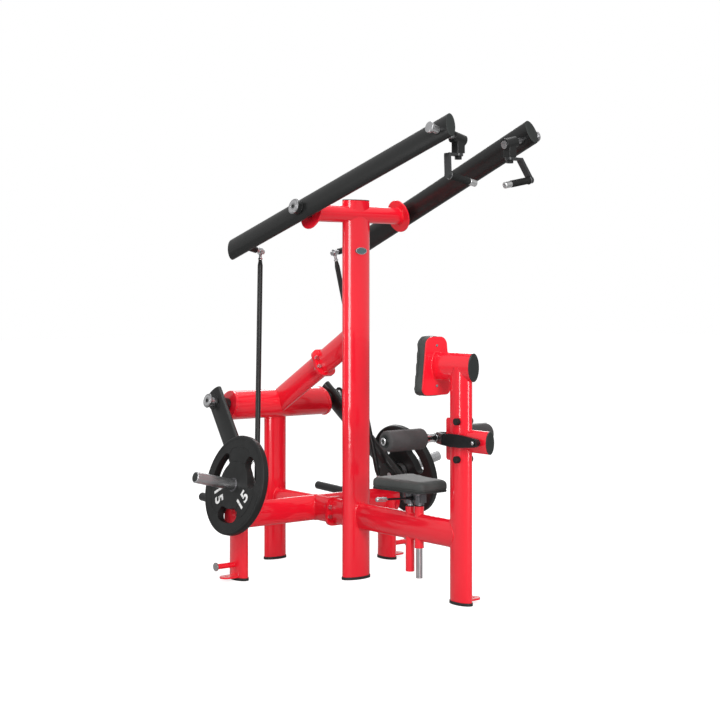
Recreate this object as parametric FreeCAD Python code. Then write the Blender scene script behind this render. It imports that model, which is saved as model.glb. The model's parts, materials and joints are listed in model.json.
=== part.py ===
import FreeCAD, Part
import math
import os

from FreeCAD import Placement, Rotation, Vector

# Plate-loaded lat pulldown machine, in millimetres.
# Origin: centre of the main column's foot, on the floor.
# +X is the user's right side, +Y the rear of the machine, +Z up.
# The user sits on the seat at -Y, facing +Y, and pulls the two arms down.

# Driving dimensions: fixed frame
WALL = 4.0
FOOT_THICK = 12.0
FOOT_LIP = 3.0
MAIN_LONG, MAIN_SHORT = 146.0, 72.0
TUBE_LONG, TUBE_SHORT = 117.0, 58.0
POST_LONG, POST_SHORT = 120.0, 60.0
COLUMN_TOP = 1697.0
BEAM_Z = 284.0
FRONT_Y = -705.0
REAR_Y = 637.0
LEG_X, LEG_Y = 427.5, 306.0
CROSS_HALF = 484.0
PAD_ARM_Z = 978.0
PAD_ARM_REAR, PAD_ARM_FRONT = -553.0, -779.0
STUB_Z, STUB_FRONT_Y = 677.0, -877.0
STUB_LONG, STUB_SHORT = 93.0, 44.0
SPINE_FLANGE_Y = 157.0
BRACE_TOP = Vector(0, 34.2, 1075.5)
BRACE_FLANGE_Y = 247.0
FLANGE_LONG, FLANGE_WIDE, FLANGE_THICK = 132.0, 100.0, 8.0
FLANGE_BOLTS = [(along, across) for along in (-22, 22) for across in (-38, 38)]
STOP_Y, STOP_RISE = -718.0, 78.0

# Driving dimensions: the arms and levers swing in planes that lean inward at the top
TILT = 14.0
ARM_PIVOT = Vector(297.5, 0, 1648.4)
ARM_SLOPE = 19.06
ARM_FRONT, ARM_REAR = 942.0, 524.0
ARM_HIGH, ARM_THICK = 102.0, 50.0
ARM_AXLE_R = 20.0
ARM_DISC = 52.0
CROSSBAR_R = 38.0
LEVER_PIVOT = Vector(334.8, 625.5, 766.0)
LEVER_DROP = 43.2
LEVER_TOP, LEVER_END = 60.0, 584.0
LEVER_HIGH, LEVER_THICK = 102.0, 50.0
LEVER_AXLE_R = 22.5
LEVER_DISC = 62.7
PIVOT_BEAM_R = 68.0
RUNNING_GAP = 0.05

# Driving dimensions: weight horn, plate and push rod
HORN_REACH = 528.0
HORN_R = 25.0
HORN_TIP = 284.0
COLLAR_END = 48.0
GROOVE_AT, GROOVE_WIDE = 83.0, 1.5
PLATE_R = 222.0
PLATE_THICK = 34.0
ROD_TOP = Vector(445.5, -147.6, -120.8)
ROD_FOOT = Vector(-355.5, -394.7, -76.7)
ROD_R = 12.0
EYE_R, EYE_HALF, BALL_R, ROD_BOLT_R = 17.0, 6.5, 12.0, 6.0

# Driving dimensions: handles
PIN_ALONG, PIN_OFF = -891.3, -11.0
PIN_R = 12.0
SWIVEL_GAP = 0.12
HANDLE_X, HANDLE_Y, HANDLE_Z = 142.2, -846.0, 1842.0
GRIP_START = Vector(226.0, -880.0, 1750.0)
GRIP_SLOPE = 11.0
GRIP_LENGTH, GRIP_R = 149.0, 14.5

# Driving dimensions: seat, pads and thigh rollers
SEAT_TOP, SEAT_THICK = 490.0, 50.0
SEAT_REAR_Y, SEAT_FRONT_Y = -238.0, -552.0
SEAT_REAR_HALF, SEAT_FRONT_HALF = 129.0, 82.0
PISTON_Y, GUIDE_Y = -378.0, -439.0
PISTON_R, GUIDE_R = 12.0, 14.0
ROLLER_PIVOT_Y, ROLLER_BEND_Y, ROLLER_Y = -832.0, -634.0, -560.0
ROLLER_R, ROLLER_IN, ROLLER_OUT = 46.0, 82.0, 290.0
AXLE_R = 12.5
HUB_STEP = 61.0
LATCH_X, LATCH_Y, LATCH_Z = -22.0, -410.0, 406.0
STORE_X, STORE_R, STORE_END_Y = 342.0, 20.0, 754.0
STORE_GROOVE = 44.0

X_AXIS, Y_AXIS, Z_AXIS = Vector(1, 0, 0), Vector(0, 1, 0), Vector(0, 0, 1)
OUT = Vector(math.cos(math.radians(TILT)), 0, math.sin(math.radians(TILT)))
UP = Vector(-OUT.z, 0, OUT.x)


def frame_of(origin, x_dir, z_dir):
    """Placement whose local Z is z_dir and whose local X is as near x_dir as it can be."""
    z_dir = Vector(z_dir).normalize()
    y_dir = z_dir.cross(x_dir).normalize()
    return Placement(Vector(origin), Rotation(y_dir.cross(z_dir), y_dir, z_dir, "ZXY"))


def set_in(shape, placement):
    placed = shape.copy()
    placed.Placement = placement.multiply(placed.Placement)
    return placed


def fused(*shapes):
    return shapes[0].multiFuse(list(shapes[1:])).removeSplitter()


def group(*shapes):
    return Part.makeCompound(list(shapes))


def cylinder(radius, start, end, axis=Z_AXIS, base=Vector(0, 0, 0)):
    """Cylinder along axis, from start to end, both measured along axis from base."""
    return Part.makeCylinder(radius, end - start, base + axis * start, axis)


def block(x_range, y_range, z_range):
    corner = Vector(x_range[0], y_range[0], z_range[0])
    sizes = [high - low for low, high in (x_range, y_range, z_range)]
    return Part.makeBox(*sizes, corner)


def oval_prism(long_side, short_side, length):
    """Elliptical bar on local Z, its long side on local X."""
    ring = Part.Ellipse(Vector(0, 0, 0), long_side / 2, short_side / 2).toShape()
    return Part.Face(Part.Wire(ring)).extrude(Vector(0, 0, length))


def oval_bar(start, end, long_dir, long_side, short_side):
    direction = end - start
    return set_in(oval_prism(long_side, short_side, direction.Length),
                  frame_of(start, long_dir, direction))


def oval_tube(start, end, long_dir, long_side, short_side, wall=WALL):
    """Hollow elliptical tube, open at both ends."""
    outer = oval_bar(start, end, long_dir, long_side, short_side)
    spare = (end - start).normalize()
    inner = oval_bar(start - spare, end + spare, long_dir, long_side - 2 * wall, short_side - 2 * wall)
    return outer.cut(inner)


def plug(face_point, outward, long_dir, long_side, short_side, cap=3.0, depth=12.0):
    """Moulded end plug: a thin cap over the tube's end and a body inside the tube."""
    cap_bar = oval_bar(face_point, face_point + outward * cap, long_dir, long_side, short_side)
    cap_bar = cap_bar.makeChamfer(1.2, [e for e in cap_bar.Edges if on_plane(e, face_point, outward, cap)])
    inside = oval_bar(face_point - outward * depth, face_point, long_dir,
                      long_side - 2 * WALL, short_side - 2 * WALL)
    return fused(cap_bar, inside)


def on_plane(edge, point, normal, offset):
    """True where a whole edge lies on the plane at this offset from point along normal."""
    return all(abs((v.Point - point).dot(normal) - offset) < 0.01 for v in edge.Vertexes)


def outline(points, height):
    """Straight-sided plate from a closed list of (x, y) corners, on local Z."""
    corners = [Vector(x, y, 0) for x, y in points]
    return Part.Face(Part.makePolygon(corners + [corners[0]])).extrude(Vector(0, 0, height))


def rounded(shape, radius, direction=Z_AXIS):
    """Fillet the straight edges that run along direction."""
    edges = [e for e in shape.Edges
             if len(e.Vertexes) == 2 and abs(abs(e.tangentAt(e.FirstParameter).dot(direction)) - 1) < 1e-6]
    return shape.makeFillet(radius, edges)


def hex_head(across_flats, height, centre, axis):
    """Bolt head or nut with its lower face at centre."""
    radius = across_flats / math.sqrt(3)
    corners = [(radius * math.cos(math.radians(60 * k)), radius * math.sin(math.radians(60 * k)))
               for k in range(6)]
    side = X_AXIS if abs(axis.dot(X_AXIS)) < 0.9 else Y_AXIS
    return set_in(outline(corners, height), frame_of(centre, side, axis))


def mirror(shape):
    return shape.mirror(Vector(0, 0, 0), X_AXIS)


def both(shape):
    return [shape, mirror(shape)]


ARM_PLANE = frame_of(ARM_PIVOT, Y_AXIS, OUT)
LEVER_PLANE = frame_of(LEVER_PIVOT, Y_AXIS, OUT)
SLOPE = math.radians(ARM_SLOPE)
ARM_LINE = ARM_PLANE.multiply(frame_of(Vector(0, 0, 0), Vector(math.cos(SLOPE), -math.sin(SLOPE), 0), Z_AXIS))
DROP = math.radians(LEVER_DROP)
LEVER_LINE = LEVER_PLANE.multiply(
    frame_of(Vector(0, 0, 0), Vector(-math.cos(DROP), -math.sin(DROP), 0), Z_AXIS))


def beyond(plane, height):
    """Large block on the outer side of a swing plane, used to trim tube ends to it."""
    return set_in(block((-400, 400), (-400, 400), (height, height + 500)), plane)


# Fixed frame ---------------------------------------------------------------------------------

def column_outer(x, y, long_dir, long_side, short_side, top):
    return oval_bar(Vector(x, y, FOOT_THICK), Vector(x, y, top), long_dir, long_side, short_side)


def crossbar_outer():
    return cylinder(CROSSBAR_R, -400, 400, X_AXIS, Vector(0, 0, ARM_PIVOT.z - ARM_DISC * OUT.z))


def pivot_beam_outer():
    height = LEVER_PIVOT.z - LEVER_DISC * OUT.z
    return cylinder(PIVOT_BEAM_R, -400, 400, X_AXIS, Vector(0, LEVER_PIVOT.y, height))


def disc_bar(outer, wall, radius, plane, disc_at, disc_thick, disc_r, axle_r):
    """Round cross tube with a leaning disc welded on each end and an axle hole in each disc."""
    bore = cylinder(radius - wall, -400, 400, X_AXIS,
                    Vector(0, outer.CenterOfMass.y, outer.CenterOfMass.z))
    tube = outer.cut(bore)
    for end in both(beyond(plane, -disc_at - disc_thick / 2)):
        tube = tube.cut(end)
    disc = Part.makeCylinder(disc_r, disc_thick, Vector(0, 0, -disc_at - disc_thick / 2))
    disc = disc.makeChamfer(1.5, [e for e in disc.Edges if len(e.Vertexes) == 1])
    disc = disc.cut(Part.makeCylinder(axle_r, 200, Vector(0, 0, -150)))
    return fused(tube, *both(set_in(disc, plane)))


def flange(centre, direction, long_dir):
    """One flange plate, 8 thick, with rounded waisted corners and four bolt holes."""
    plate = Part.makeBox(FLANGE_LONG, FLANGE_WIDE, FLANGE_THICK,
                         Vector(-FLANGE_LONG / 2, -FLANGE_WIDE / 2, 0))
    plate = rounded(plate, 30)
    for along, across in FLANGE_BOLTS:
        plate = plate.cut(Part.makeCylinder(6.0, 40, Vector(along, across, -10)))
    return set_in(plate, frame_of(centre, long_dir, direction))


def flange_bolts(centre, direction, long_dir):
    """Four hex bolts through the pair of flange plates that meet at centre."""
    bolts = []
    for along, across in FLANGE_BOLTS:
        shank = Part.makeCylinder(6.0, 2 * FLANGE_THICK, Vector(along, across, -FLANGE_THICK))
        head = hex_head(19, 7.5, Vector(along, across, FLANGE_THICK), Z_AXIS)
        nut = hex_head(19, 9, Vector(along, across, -FLANGE_THICK - 9), Z_AXIS)
        bolts.append(set_in(fused(shank, head, nut), frame_of(centre, long_dir, direction)))
    return bolts


def build_frame():
    nodes = {}
    main = column_outer(0, 0, X_AXIS, MAIN_LONG, MAIN_SHORT, COLUMN_TOP)
    front = column_outer(0, FRONT_Y, Y_AXIS, POST_LONG, POST_SHORT, PAD_ARM_Z)
    pivot_beam = pivot_beam_outer()
    cross = oval_bar(Vector(-CROSS_HALF, LEG_Y, BEAM_Z), Vector(CROSS_HALF, LEG_Y, BEAM_Z),
                     Z_AXIS, TUBE_LONG, TUBE_SHORT)
    pad_arm_rear = Vector(0, PAD_ARM_REAR, PAD_ARM_Z)
    pad_arm_front = Vector(0, PAD_ARM_FRONT, PAD_ARM_Z)
    pad_arm = oval_bar(pad_arm_rear, pad_arm_front, Z_AXIS, TUBE_LONG, TUBE_SHORT)

    column = oval_tube(Vector(0, 0, FOOT_THICK), Vector(0, 0, COLUMN_TOP), X_AXIS, MAIN_LONG, MAIN_SHORT)
    lower, upper = sorted(column.cut(crossbar_outer()).Solids, key=lambda piece: piece.CenterOfMass.z)
    nodes["main_column"] = lower
    post = oval_tube(Vector(0, FRONT_Y, FOOT_THICK), Vector(0, FRONT_Y, PAD_ARM_Z),
                     Y_AXIS, POST_LONG, POST_SHORT)
    nodes["front_column"] = post.cut(pad_arm)
    post = oval_tube(Vector(0, REAR_Y, FOOT_THICK), Vector(0, REAR_Y, 745), X_AXIS, POST_LONG, POST_SHORT)
    nodes["rear_column"] = post.cut(pivot_beam)
    leg = oval_tube(Vector(LEG_X, LEG_Y, FOOT_THICK), Vector(LEG_X, LEG_Y, BEAM_Z),
                    Y_AXIS, POST_LONG, POST_SHORT)
    leg_lid = oval_bar(Vector(LEG_X, LEG_Y, BEAM_Z - WALL), Vector(LEG_X, LEG_Y, BEAM_Z),
                       Y_AXIS, POST_LONG, POST_SHORT)
    leg = fused(leg, leg_lid).cut(cross)
    nodes["right_leg"] = leg
    nodes["left_leg"] = mirror(leg)

    nodes["cross_beam"] = oval_tube(Vector(-CROSS_HALF, LEG_Y, BEAM_Z), Vector(CROSS_HALF, LEG_Y, BEAM_Z),
                                    Z_AXIS, TUBE_LONG, TUBE_SHORT)
    seat_beam = oval_tube(Vector(0, 0, BEAM_Z), Vector(0, FRONT_Y, BEAM_Z), Z_AXIS, TUBE_LONG, TUBE_SHORT)
    seat_beam = seat_beam.cut(main).cut(front)
    for radius, y in ((PISTON_R + 7, PISTON_Y), (GUIDE_R + 6, GUIDE_Y)):
        seat_beam = seat_beam.cut(cylinder(radius, 100, 500, Z_AXIS, Vector(0, y, 0)))
    nodes["seat_beam"] = seat_beam

    split = Vector(0, SPINE_FLANGE_Y, BEAM_Z)
    stub = oval_tube(Vector(0, 0, BEAM_Z), split - Vector(0, FLANGE_THICK, 0),
                     Z_AXIS, TUBE_LONG, TUBE_SHORT).cut(main)
    nodes["front_spine"] = fused(stub, flange(split, -Y_AXIS, Z_AXIS))
    run = oval_tube(split + Vector(0, FLANGE_THICK, 0), Vector(0, LEG_Y, BEAM_Z),
                    Z_AXIS, TUBE_LONG, TUBE_SHORT).cut(cross)
    nodes["mid_spine"] = fused(run, flange(split, Y_AXIS, Z_AXIS))
    rear = column_outer(0, REAR_Y, X_AXIS, POST_LONG, POST_SHORT, 500)
    nodes["rear_spine"] = oval_tube(Vector(0, LEG_Y, BEAM_Z), Vector(0, REAR_Y, BEAM_Z),
                                    Z_AXIS, TUBE_LONG, TUBE_SHORT).cut(cross).cut(rear)

    beam_axis = Vector(0, LEVER_PIVOT.y, LEVER_PIVOT.z - LEVER_DISC * OUT.z)
    slope = (beam_axis - BRACE_TOP).normalize()
    joint = BRACE_TOP + slope * ((BRACE_FLANGE_Y - BRACE_TOP.y) / slope.y)
    across = X_AXIS.cross(slope)
    stub = oval_tube(BRACE_TOP - slope * 40, joint - slope * FLANGE_THICK, across, TUBE_LONG, TUBE_SHORT)
    nodes["upper_brace"] = fused(stub.cut(main), flange(joint, -slope, across))
    run = oval_tube(joint + slope * FLANGE_THICK, beam_axis, across, TUBE_LONG, TUBE_SHORT)
    nodes["lower_brace"] = fused(run.cut(pivot_beam), flange(joint, slope, across))
    nodes["frame_bolts"] = group(*flange_bolts(split, Y_AXIS, Z_AXIS),
                                 *flange_bolts(joint, slope, across))

    crossbar = disc_bar(crossbar_outer(), 5, CROSSBAR_R, ARM_PLANE, ARM_DISC, 8, 74, ARM_AXLE_R)
    nodes["top_crossbar"] = fused(crossbar, upper)
    nodes["pivot_beam"] = disc_bar(pivot_beam, 5, PIVOT_BEAM_R, LEVER_PLANE,
                                   LEVER_DISC, 12, 71, LEVER_AXLE_R)
    arm_axle = set_in(Part.makeCylinder(ARM_AXLE_R, 125, Vector(0, 0, -80)), ARM_PLANE)
    lever_axle = set_in(Part.makeCylinder(LEVER_AXLE_R, 153, Vector(0, 0, -100)), LEVER_PLANE)
    nodes["pivot_axles"] = group(*both(arm_axle), *both(lever_axle))
    arm_cap = set_in(domed_disc(34, 8, 45), ARM_PLANE)
    lever_cap = set_in(domed_disc(32, 8.5, 53), LEVER_PLANE)
    nodes["axle_caps"] = group(*both(arm_cap), *both(lever_cap))

    nodes["pad_arm"] = oval_tube(pad_arm_rear, pad_arm_front, Z_AXIS, TUBE_LONG, TUBE_SHORT)
    stub_outer_start = Vector(0, FRONT_Y, STUB_Z)
    stub_front = Vector(0, STUB_FRONT_Y, STUB_Z)
    stub = oval_tube(stub_outer_start, stub_front, Z_AXIS, STUB_LONG, STUB_SHORT).cut(front)
    pivot_hole = cylinder(8, -60, 60, X_AXIS, Vector(0, ROLLER_PIVOT_Y, STUB_Z))
    nodes["roller_stub"] = stub.cut(pivot_hole)
    nodes["foot_caps"] = group(*foot_caps())
    nodes["tube_plugs"] = group(
        plug(Vector(0, 0, COLUMN_TOP), Z_AXIS, X_AXIS, MAIN_LONG, MAIN_SHORT, cap=4),
        plug(pad_arm_front, -Y_AXIS, Z_AXIS, TUBE_LONG, TUBE_SHORT, cap=5),
        plug(stub_front, -Y_AXIS, Z_AXIS, STUB_LONG, STUB_SHORT, cap=5),
        *both(plug(Vector(CROSS_HALF, LEG_Y, BEAM_Z), X_AXIS, Z_AXIS, TUBE_LONG, TUBE_SHORT)))
    return nodes


def domed_disc(radius, thick, height):
    """Round cap with a softened outer rim, standing on local Z at this height."""
    disc = Part.makeCylinder(radius, thick, Vector(0, 0, height))
    rim = [e for e in disc.Edges if len(e.Vertexes) == 1 and e.Vertexes[0].Z > height + thick / 2]
    return disc.makeFillet(2.5, rim)


def foot_caps():
    places = [(0, 0, X_AXIS, MAIN_LONG, MAIN_SHORT), (0, FRONT_Y, Y_AXIS, POST_LONG, POST_SHORT),
              (0, REAR_Y, X_AXIS, POST_LONG, POST_SHORT), (LEG_X, LEG_Y, Y_AXIS, POST_LONG, POST_SHORT),
              (-LEG_X, LEG_Y, Y_AXIS, POST_LONG, POST_SHORT)]
    caps = []
    for x, y, long_dir, long_side, short_side in places:
        cap = oval_bar(Vector(x, y, 0), Vector(x, y, FOOT_THICK), long_dir,
                       long_side + 2 * FOOT_LIP, short_side + 2 * FOOT_LIP)
        inside = oval_bar(Vector(x, y, FOOT_THICK), Vector(x, y, FOOT_THICK + 25), long_dir,
                          long_side - 2 * WALL, short_side - 2 * WALL)
        caps.append(fused(cap, inside))
    return caps


def floor_tab(x, y, reach):
    """Rounded bolt-down tab reaching sideways from a post, with one anchor hole."""
    width, low_z = 60.0, FOOT_THICK
    end = x + reach - width / 2
    low, high = x - 12, end
    tab = fused(block((low, high), (y - width / 2, y + width / 2), (low_z, low_z + 8)),
                cylinder(width / 2, low_z, low_z + 8, Z_AXIS, Vector(end, y, 0)))
    return tab.cut(cylinder(7, low_z - 1, low_z + 9, Z_AXIS, Vector(end, y, 0)))


def build_fittings():
    nodes = {}
    leg_side = LEG_X + POST_SHORT / 2
    leg = column_outer(LEG_X, LEG_Y, Y_AXIS, POST_LONG, POST_SHORT, BEAM_Z)
    front = column_outer(0, FRONT_Y, Y_AXIS, POST_LONG, POST_SHORT, BEAM_Z)
    tabs = both(floor_tab(leg_side, LEG_Y, 67).cut(leg))
    tabs.append(floor_tab(POST_SHORT / 2, FRONT_Y, 67).cut(front))
    nodes["floor_tabs"] = group(*tabs)

    peg_base = Vector(LEG_X + POST_SHORT / 2, LEG_Y, 68)
    peg = cylinder(12, -8, 88, X_AXIS, peg_base)
    end = cylinder(19, 88, 96, X_AXIS, peg_base)
    end = end.makeChamfer(1.5, [e for e in end.Edges if len(e.Vertexes) == 1])
    nodes["band_pegs"] = group(*both(fused(peg, end).cut(leg)))

    cross = oval_bar(Vector(-CROSS_HALF, LEG_Y, BEAM_Z), Vector(CROSS_HALF, LEG_Y, BEAM_Z),
                     Z_AXIS, TUBE_LONG, TUBE_SHORT)
    start = Vector(STORE_X, LEG_Y, 299)
    horn_dir = Vector(0, STORE_END_Y - LEG_Y, 15)
    horn = Part.makeCylinder(STORE_R, horn_dir.Length, start, horn_dir)
    tip = [e for e in horn.Edges if len(e.Vertexes) == 1 and e.Vertexes[0].Y > STORE_END_Y - 20]
    groove = Part.makeCylinder(STORE_R + 1, 2, start + horn_dir.normalize() * STORE_GROOVE, horn_dir)
    groove = groove.cut(Part.makeCylinder(STORE_R - 0.6, 500, start, horn_dir))
    horn = horn.makeFillet(5, tip).cut(cross).cut(groove)
    nodes["storage_horns"] = group(*both(horn))

    nodes["pad_plate"] = back_plate()
    nodes["chest_pad"] = chest_cushion()
    nodes["stop_plate"] = stop_plate()
    nodes["bumpers"] = group(*stop_bumpers(), *both(rest_bumper()))

    piston_tube = cylinder(PISTON_R + 7, 88, 367, Z_AXIS, Vector(0, PISTON_Y, 0))
    piston_bore = cylinder(PISTON_R + RUNNING_GAP, 80, 370, Z_AXIS, Vector(0, PISTON_Y, 0))
    guide_tube = cylinder(GUIDE_R + 6, 196, 374, Z_AXIS, Vector(0, GUIDE_Y, 0))
    guide_bore = cylinder(GUIDE_R + RUNNING_GAP, 190, 380, Z_AXIS, Vector(0, GUIDE_Y, 0))
    nodes["seat_sleeves"] = group(piston_tube.cut(piston_bore), guide_tube.cut(guide_bore))

    badge = Part.Face(Part.Wire(Part.Ellipse(Vector(0, 0, 0), 30, 15.5).toShape()))
    badge = badge.extrude(Vector(0, 0, 9))
    badge = set_in(badge, frame_of(Vector(0, 6 - MAIN_SHORT / 2, 1471), X_AXIS, -Y_AXIS))
    nodes["badge"] = badge.cut(column_outer(0, 0, X_AXIS, MAIN_LONG, MAIN_SHORT, COLUMN_TOP))
    return nodes


def pad_outline(half_low, half_high, low, high, thick):
    """Trapezoid plate, wider at its foot, with larger corners at the top."""
    plate = outline([(-half_low, low), (half_low, low), (half_high, high), (-half_high, high)], thick)
    for corner_y, radius in ((low, 26), (high, 38)):
        corners = [e for e in plate.Edges if abs(e.Length - thick) < 0.01
                   and all(abs(v.Y - corner_y) < 0.01 for v in e.Vertexes)]
        plate = plate.makeFillet(radius, corners)
    return plate


def back_plate():
    """Steel plate behind the chest pad, narrowing to a rounded top."""
    plate = pad_outline(79.0, 54.0, -124.0, 122.0, 8)
    return set_in(plate, frame_of(Vector(0, PAD_ARM_REAR, PAD_ARM_Z), -X_AXIS, Y_AXIS))


def chest_cushion():
    pad = pad_outline(82.0, 57.0, -127.0, 125.0, 54)
    pad = set_in(pad, frame_of(Vector(0, PAD_ARM_REAR + 8, PAD_ARM_Z), -X_AXIS, Y_AXIS))
    front = [e for e in pad.Edges if on_plane(e, Vector(0, PAD_ARM_REAR + 8, 0), Y_AXIS, 54)]
    return pad.makeFillet(12, front)


def stop_plate():
    """Sector plate welded on the column's rear, carrying the stop pins' cross holes."""
    rear_face = FRONT_Y + POST_LONG / 2
    plate = block((-5, 5), (rear_face - 8, rear_face + 27), (STUB_Z - 88, STUB_Z + 88))
    plate = rounded(plate, 12, X_AXIS)
    front = oval_bar(Vector(0, FRONT_Y, 500), Vector(0, FRONT_Y, 900), Y_AXIS, POST_LONG, POST_SHORT)
    return plate.cut(front)


def stop_bumpers():
    """Rubber stops beside the column, above and below the swinging roller frame."""
    front = column_outer(0, FRONT_Y, Y_AXIS, POST_LONG, POST_SHORT, 900)
    stops = []
    for rise in (-STOP_RISE, STOP_RISE):
        base = Vector(0, STOP_Y, STUB_Z + rise)
        for stop in both(cylinder(14.5, 20, 44, X_AXIS, base)):
            stops.append(stop.cut(front))
    return stops


def rest_bumper():
    """Rubber block on the cross beam that holds the loaded lever at rest."""
    x = 428.0
    post = cylinder(17, BEAM_Z, 520, Z_AXIS, Vector(x, LEG_Y, 0))
    cross = oval_bar(Vector(-CROSS_HALF, LEG_Y, BEAM_Z), Vector(CROSS_HALF, LEG_Y, BEAM_Z),
                     Z_AXIS, TUBE_LONG, TUBE_SHORT)
    above = set_in(block((-200, 900), (-300, 14), (-200, 200)), LEVER_LINE)
    lever = set_in(oval_prism(LEVER_HIGH + 2, LEVER_THICK + 2, 800),
                   LEVER_LINE.multiply(frame_of(Vector(-100, 0, 0), Y_AXIS, X_AXIS)))
    return post.cut(cross).cut(above).cut(lever)


# Arms, handles, push rods and levers: the right-hand side ---------------------------------------

def right_arm():
    tube = set_in(oval_prism(ARM_HIGH, ARM_THICK, ARM_FRONT + ARM_REAR),
                  frame_of(Vector(-ARM_FRONT, 0, 0), Y_AXIS, X_AXIS))
    inner = set_in(oval_prism(ARM_HIGH - 2 * WALL, ARM_THICK - 2 * WALL, ARM_FRONT + ARM_REAR + 2),
                   frame_of(Vector(-ARM_FRONT - 1, 0, 0), Y_AXIS, X_AXIS))
    tube = tube.cut(inner)
    boss = Part.makeCylinder(30, 84, Vector(0, 0, -40))
    sleeve = Part.makeCylinder(PIN_R + 6, ARM_THICK, Vector(PIN_ALONG, PIN_OFF, -ARM_THICK / 2))
    body = set_in(fused(tube, boss, sleeve), ARM_LINE)
    stub = set_in(Part.makeCylinder(15, 80, Vector(ROD_TOP.x, ROD_TOP.y, -97)), ARM_PLANE)
    body = fused(body, stub)
    body = body.cut(set_in(Part.makeCylinder(ARM_AXLE_R + RUNNING_GAP, 200, Vector(0, 0, -100)), ARM_LINE))
    body = body.cut(set_in(Part.makeCylinder(PIN_R, 200, Vector(PIN_ALONG, PIN_OFF, -100)), ARM_LINE))
    return body.cut(set_in(Part.makeCylinder(ROD_BOLT_R, 40, Vector(ROD_TOP.x, ROD_TOP.y, -97)), ARM_PLANE))


def right_arm_pins():
    """Handle pin with its round cap, and the shoulder bolt that carries the push rod."""
    pin = Part.makeCylinder(PIN_R, 120 + 62, Vector(PIN_ALONG, PIN_OFF, -120))
    cap = domed_disc(23.5, 10, 60)
    cap.translate(Vector(PIN_ALONG, PIN_OFF, 0))
    spacer = Part.makeCylinder(17, 35, Vector(PIN_ALONG, PIN_OFF, ARM_THICK / 2))
    end = Part.makeCylinder(17, 5, Vector(PIN_ALONG, PIN_OFF, -125))
    handle_pin = set_in(fused(pin, cap, spacer, end), ARM_LINE)
    x, y, z = ROD_TOP
    shank = Part.makeCylinder(ROD_BOLT_R, -57 - (z - 9), Vector(x, y, z - 9))
    shoulder = Part.makeCylinder(10, -97 - (z + 9), Vector(x, y, z + 9))
    nut = hex_head(19, 10, Vector(x, y, z - 19), Z_AXIS)
    return group(handle_pin, set_in(fused(shank, shoulder, nut), ARM_PLANE))


def right_swivel_block():
    """Sleeve on the handle pin with a square drop block, and the bolt that the handle turns on."""
    sleeve = set_in(Part.makeCylinder(24, 60, Vector(PIN_ALONG, PIN_OFF, -119)), ARM_LINE)
    drop = block((HANDLE_X - 20, HANDLE_X + 20), (HANDLE_Y - 20, HANDLE_Y + 20), (HANDLE_Z, HANDLE_Z + 60))
    drop = rounded(drop, 4)
    body = fused(sleeve, drop)
    body = body.cut(set_in(Part.makeCylinder(PIN_R + SWIVEL_GAP, 200, Vector(PIN_ALONG, PIN_OFF, -150)),
                           ARM_LINE))
    body = body.cut(set_in(Part.makeCylinder(17.6, 30, Vector(PIN_ALONG, PIN_OFF, -149.2)), ARM_LINE))
    base = Vector(HANDLE_X, HANDLE_Y, 0)
    body = body.cut(cylinder(8, HANDLE_Z - 1, HANDLE_Z + 26, Z_AXIS, base))
    bolt = fused(cylinder(8, HANDLE_Z - 12, HANDLE_Z + 26, Z_AXIS, base),
                 hex_head(26, 13, Vector(HANDLE_X, HANDLE_Y, HANDLE_Z - 25), Z_AXIS))
    return group(body, bolt)


def right_handle_bar():
    """Flat steel strap, bent down and forward, with a round bar for the grip welded to its foot."""
    high, low = HANDLE_Z - 0.5, HANDLE_Z - 11.5
    elbow_x = GRIP_START.x - 27
    strap = fused(block((HANDLE_X, elbow_x), (HANDLE_Y - 15, HANDLE_Y + 15), (low, high)),
                  cylinder(20, low, high, Z_AXIS, Vector(HANDLE_X, HANDLE_Y, 0)))
    elbow = Vector(elbow_x, HANDLE_Y, (low + high) / 2)
    strap = fused(strap, cylinder(5.5, -15, 15, Y_AXIS, elbow))
    down = GRIP_START - elbow
    leg = Part.makeBox(30, 11, down.Length, Vector(-15, -5.5, 0))
    leg = set_in(leg, frame_of(elbow, Y_AXIS, down))
    grip_dir = Vector(-math.cos(math.radians(GRIP_SLOPE)), 0, -math.sin(math.radians(GRIP_SLOPE)))
    foot = cylinder(15, -7, 7, grip_dir, GRIP_START)
    bar = cylinder(10, 0, GRIP_LENGTH - 30, grip_dir, GRIP_START)
    knob = cylinder(13.5, GRIP_LENGTH - 36, GRIP_LENGTH, grip_dir, GRIP_START)
    knob = knob.makeChamfer(2, [e for e in knob.Edges if len(e.Vertexes) == 1])
    body = fused(strap, leg, foot, bar, knob)
    return body.cut(cylinder(8 + RUNNING_GAP, low - 5, high + 5, Z_AXIS, Vector(HANDLE_X, HANDLE_Y, 0)))


def right_handle_grip():
    """Rubber sleeve on the grip bar."""
    grip_dir = Vector(-math.cos(math.radians(GRIP_SLOPE)), 0, -math.sin(math.radians(GRIP_SLOPE)))
    sleeve = cylinder(GRIP_R, 9, GRIP_LENGTH - 36, grip_dir, GRIP_START)
    return sleeve.cut(cylinder(10, 0, GRIP_LENGTH, grip_dir, GRIP_START))


def rod_line():
    top = ARM_PLANE.multVec(ROD_TOP)
    foot = LEVER_PLANE.multVec(ROD_FOOT)
    return top, foot, (foot - top).normalize()


def right_push_rod():
    """Round bar with tapered ends between its two ball joints."""
    top, foot, along = rod_line()
    length = (foot - top).Length
    taper, start = 26.0, 42.0
    middle = cylinder(ROD_R, start + taper, length - start - taper, along, top)
    upper = Part.makeCone(8, ROD_R, taper, top + along * start, along)
    lower = Part.makeCone(ROD_R, 8, taper, top + along * (length - start - taper), along)
    return fused(middle, upper, lower)


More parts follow.
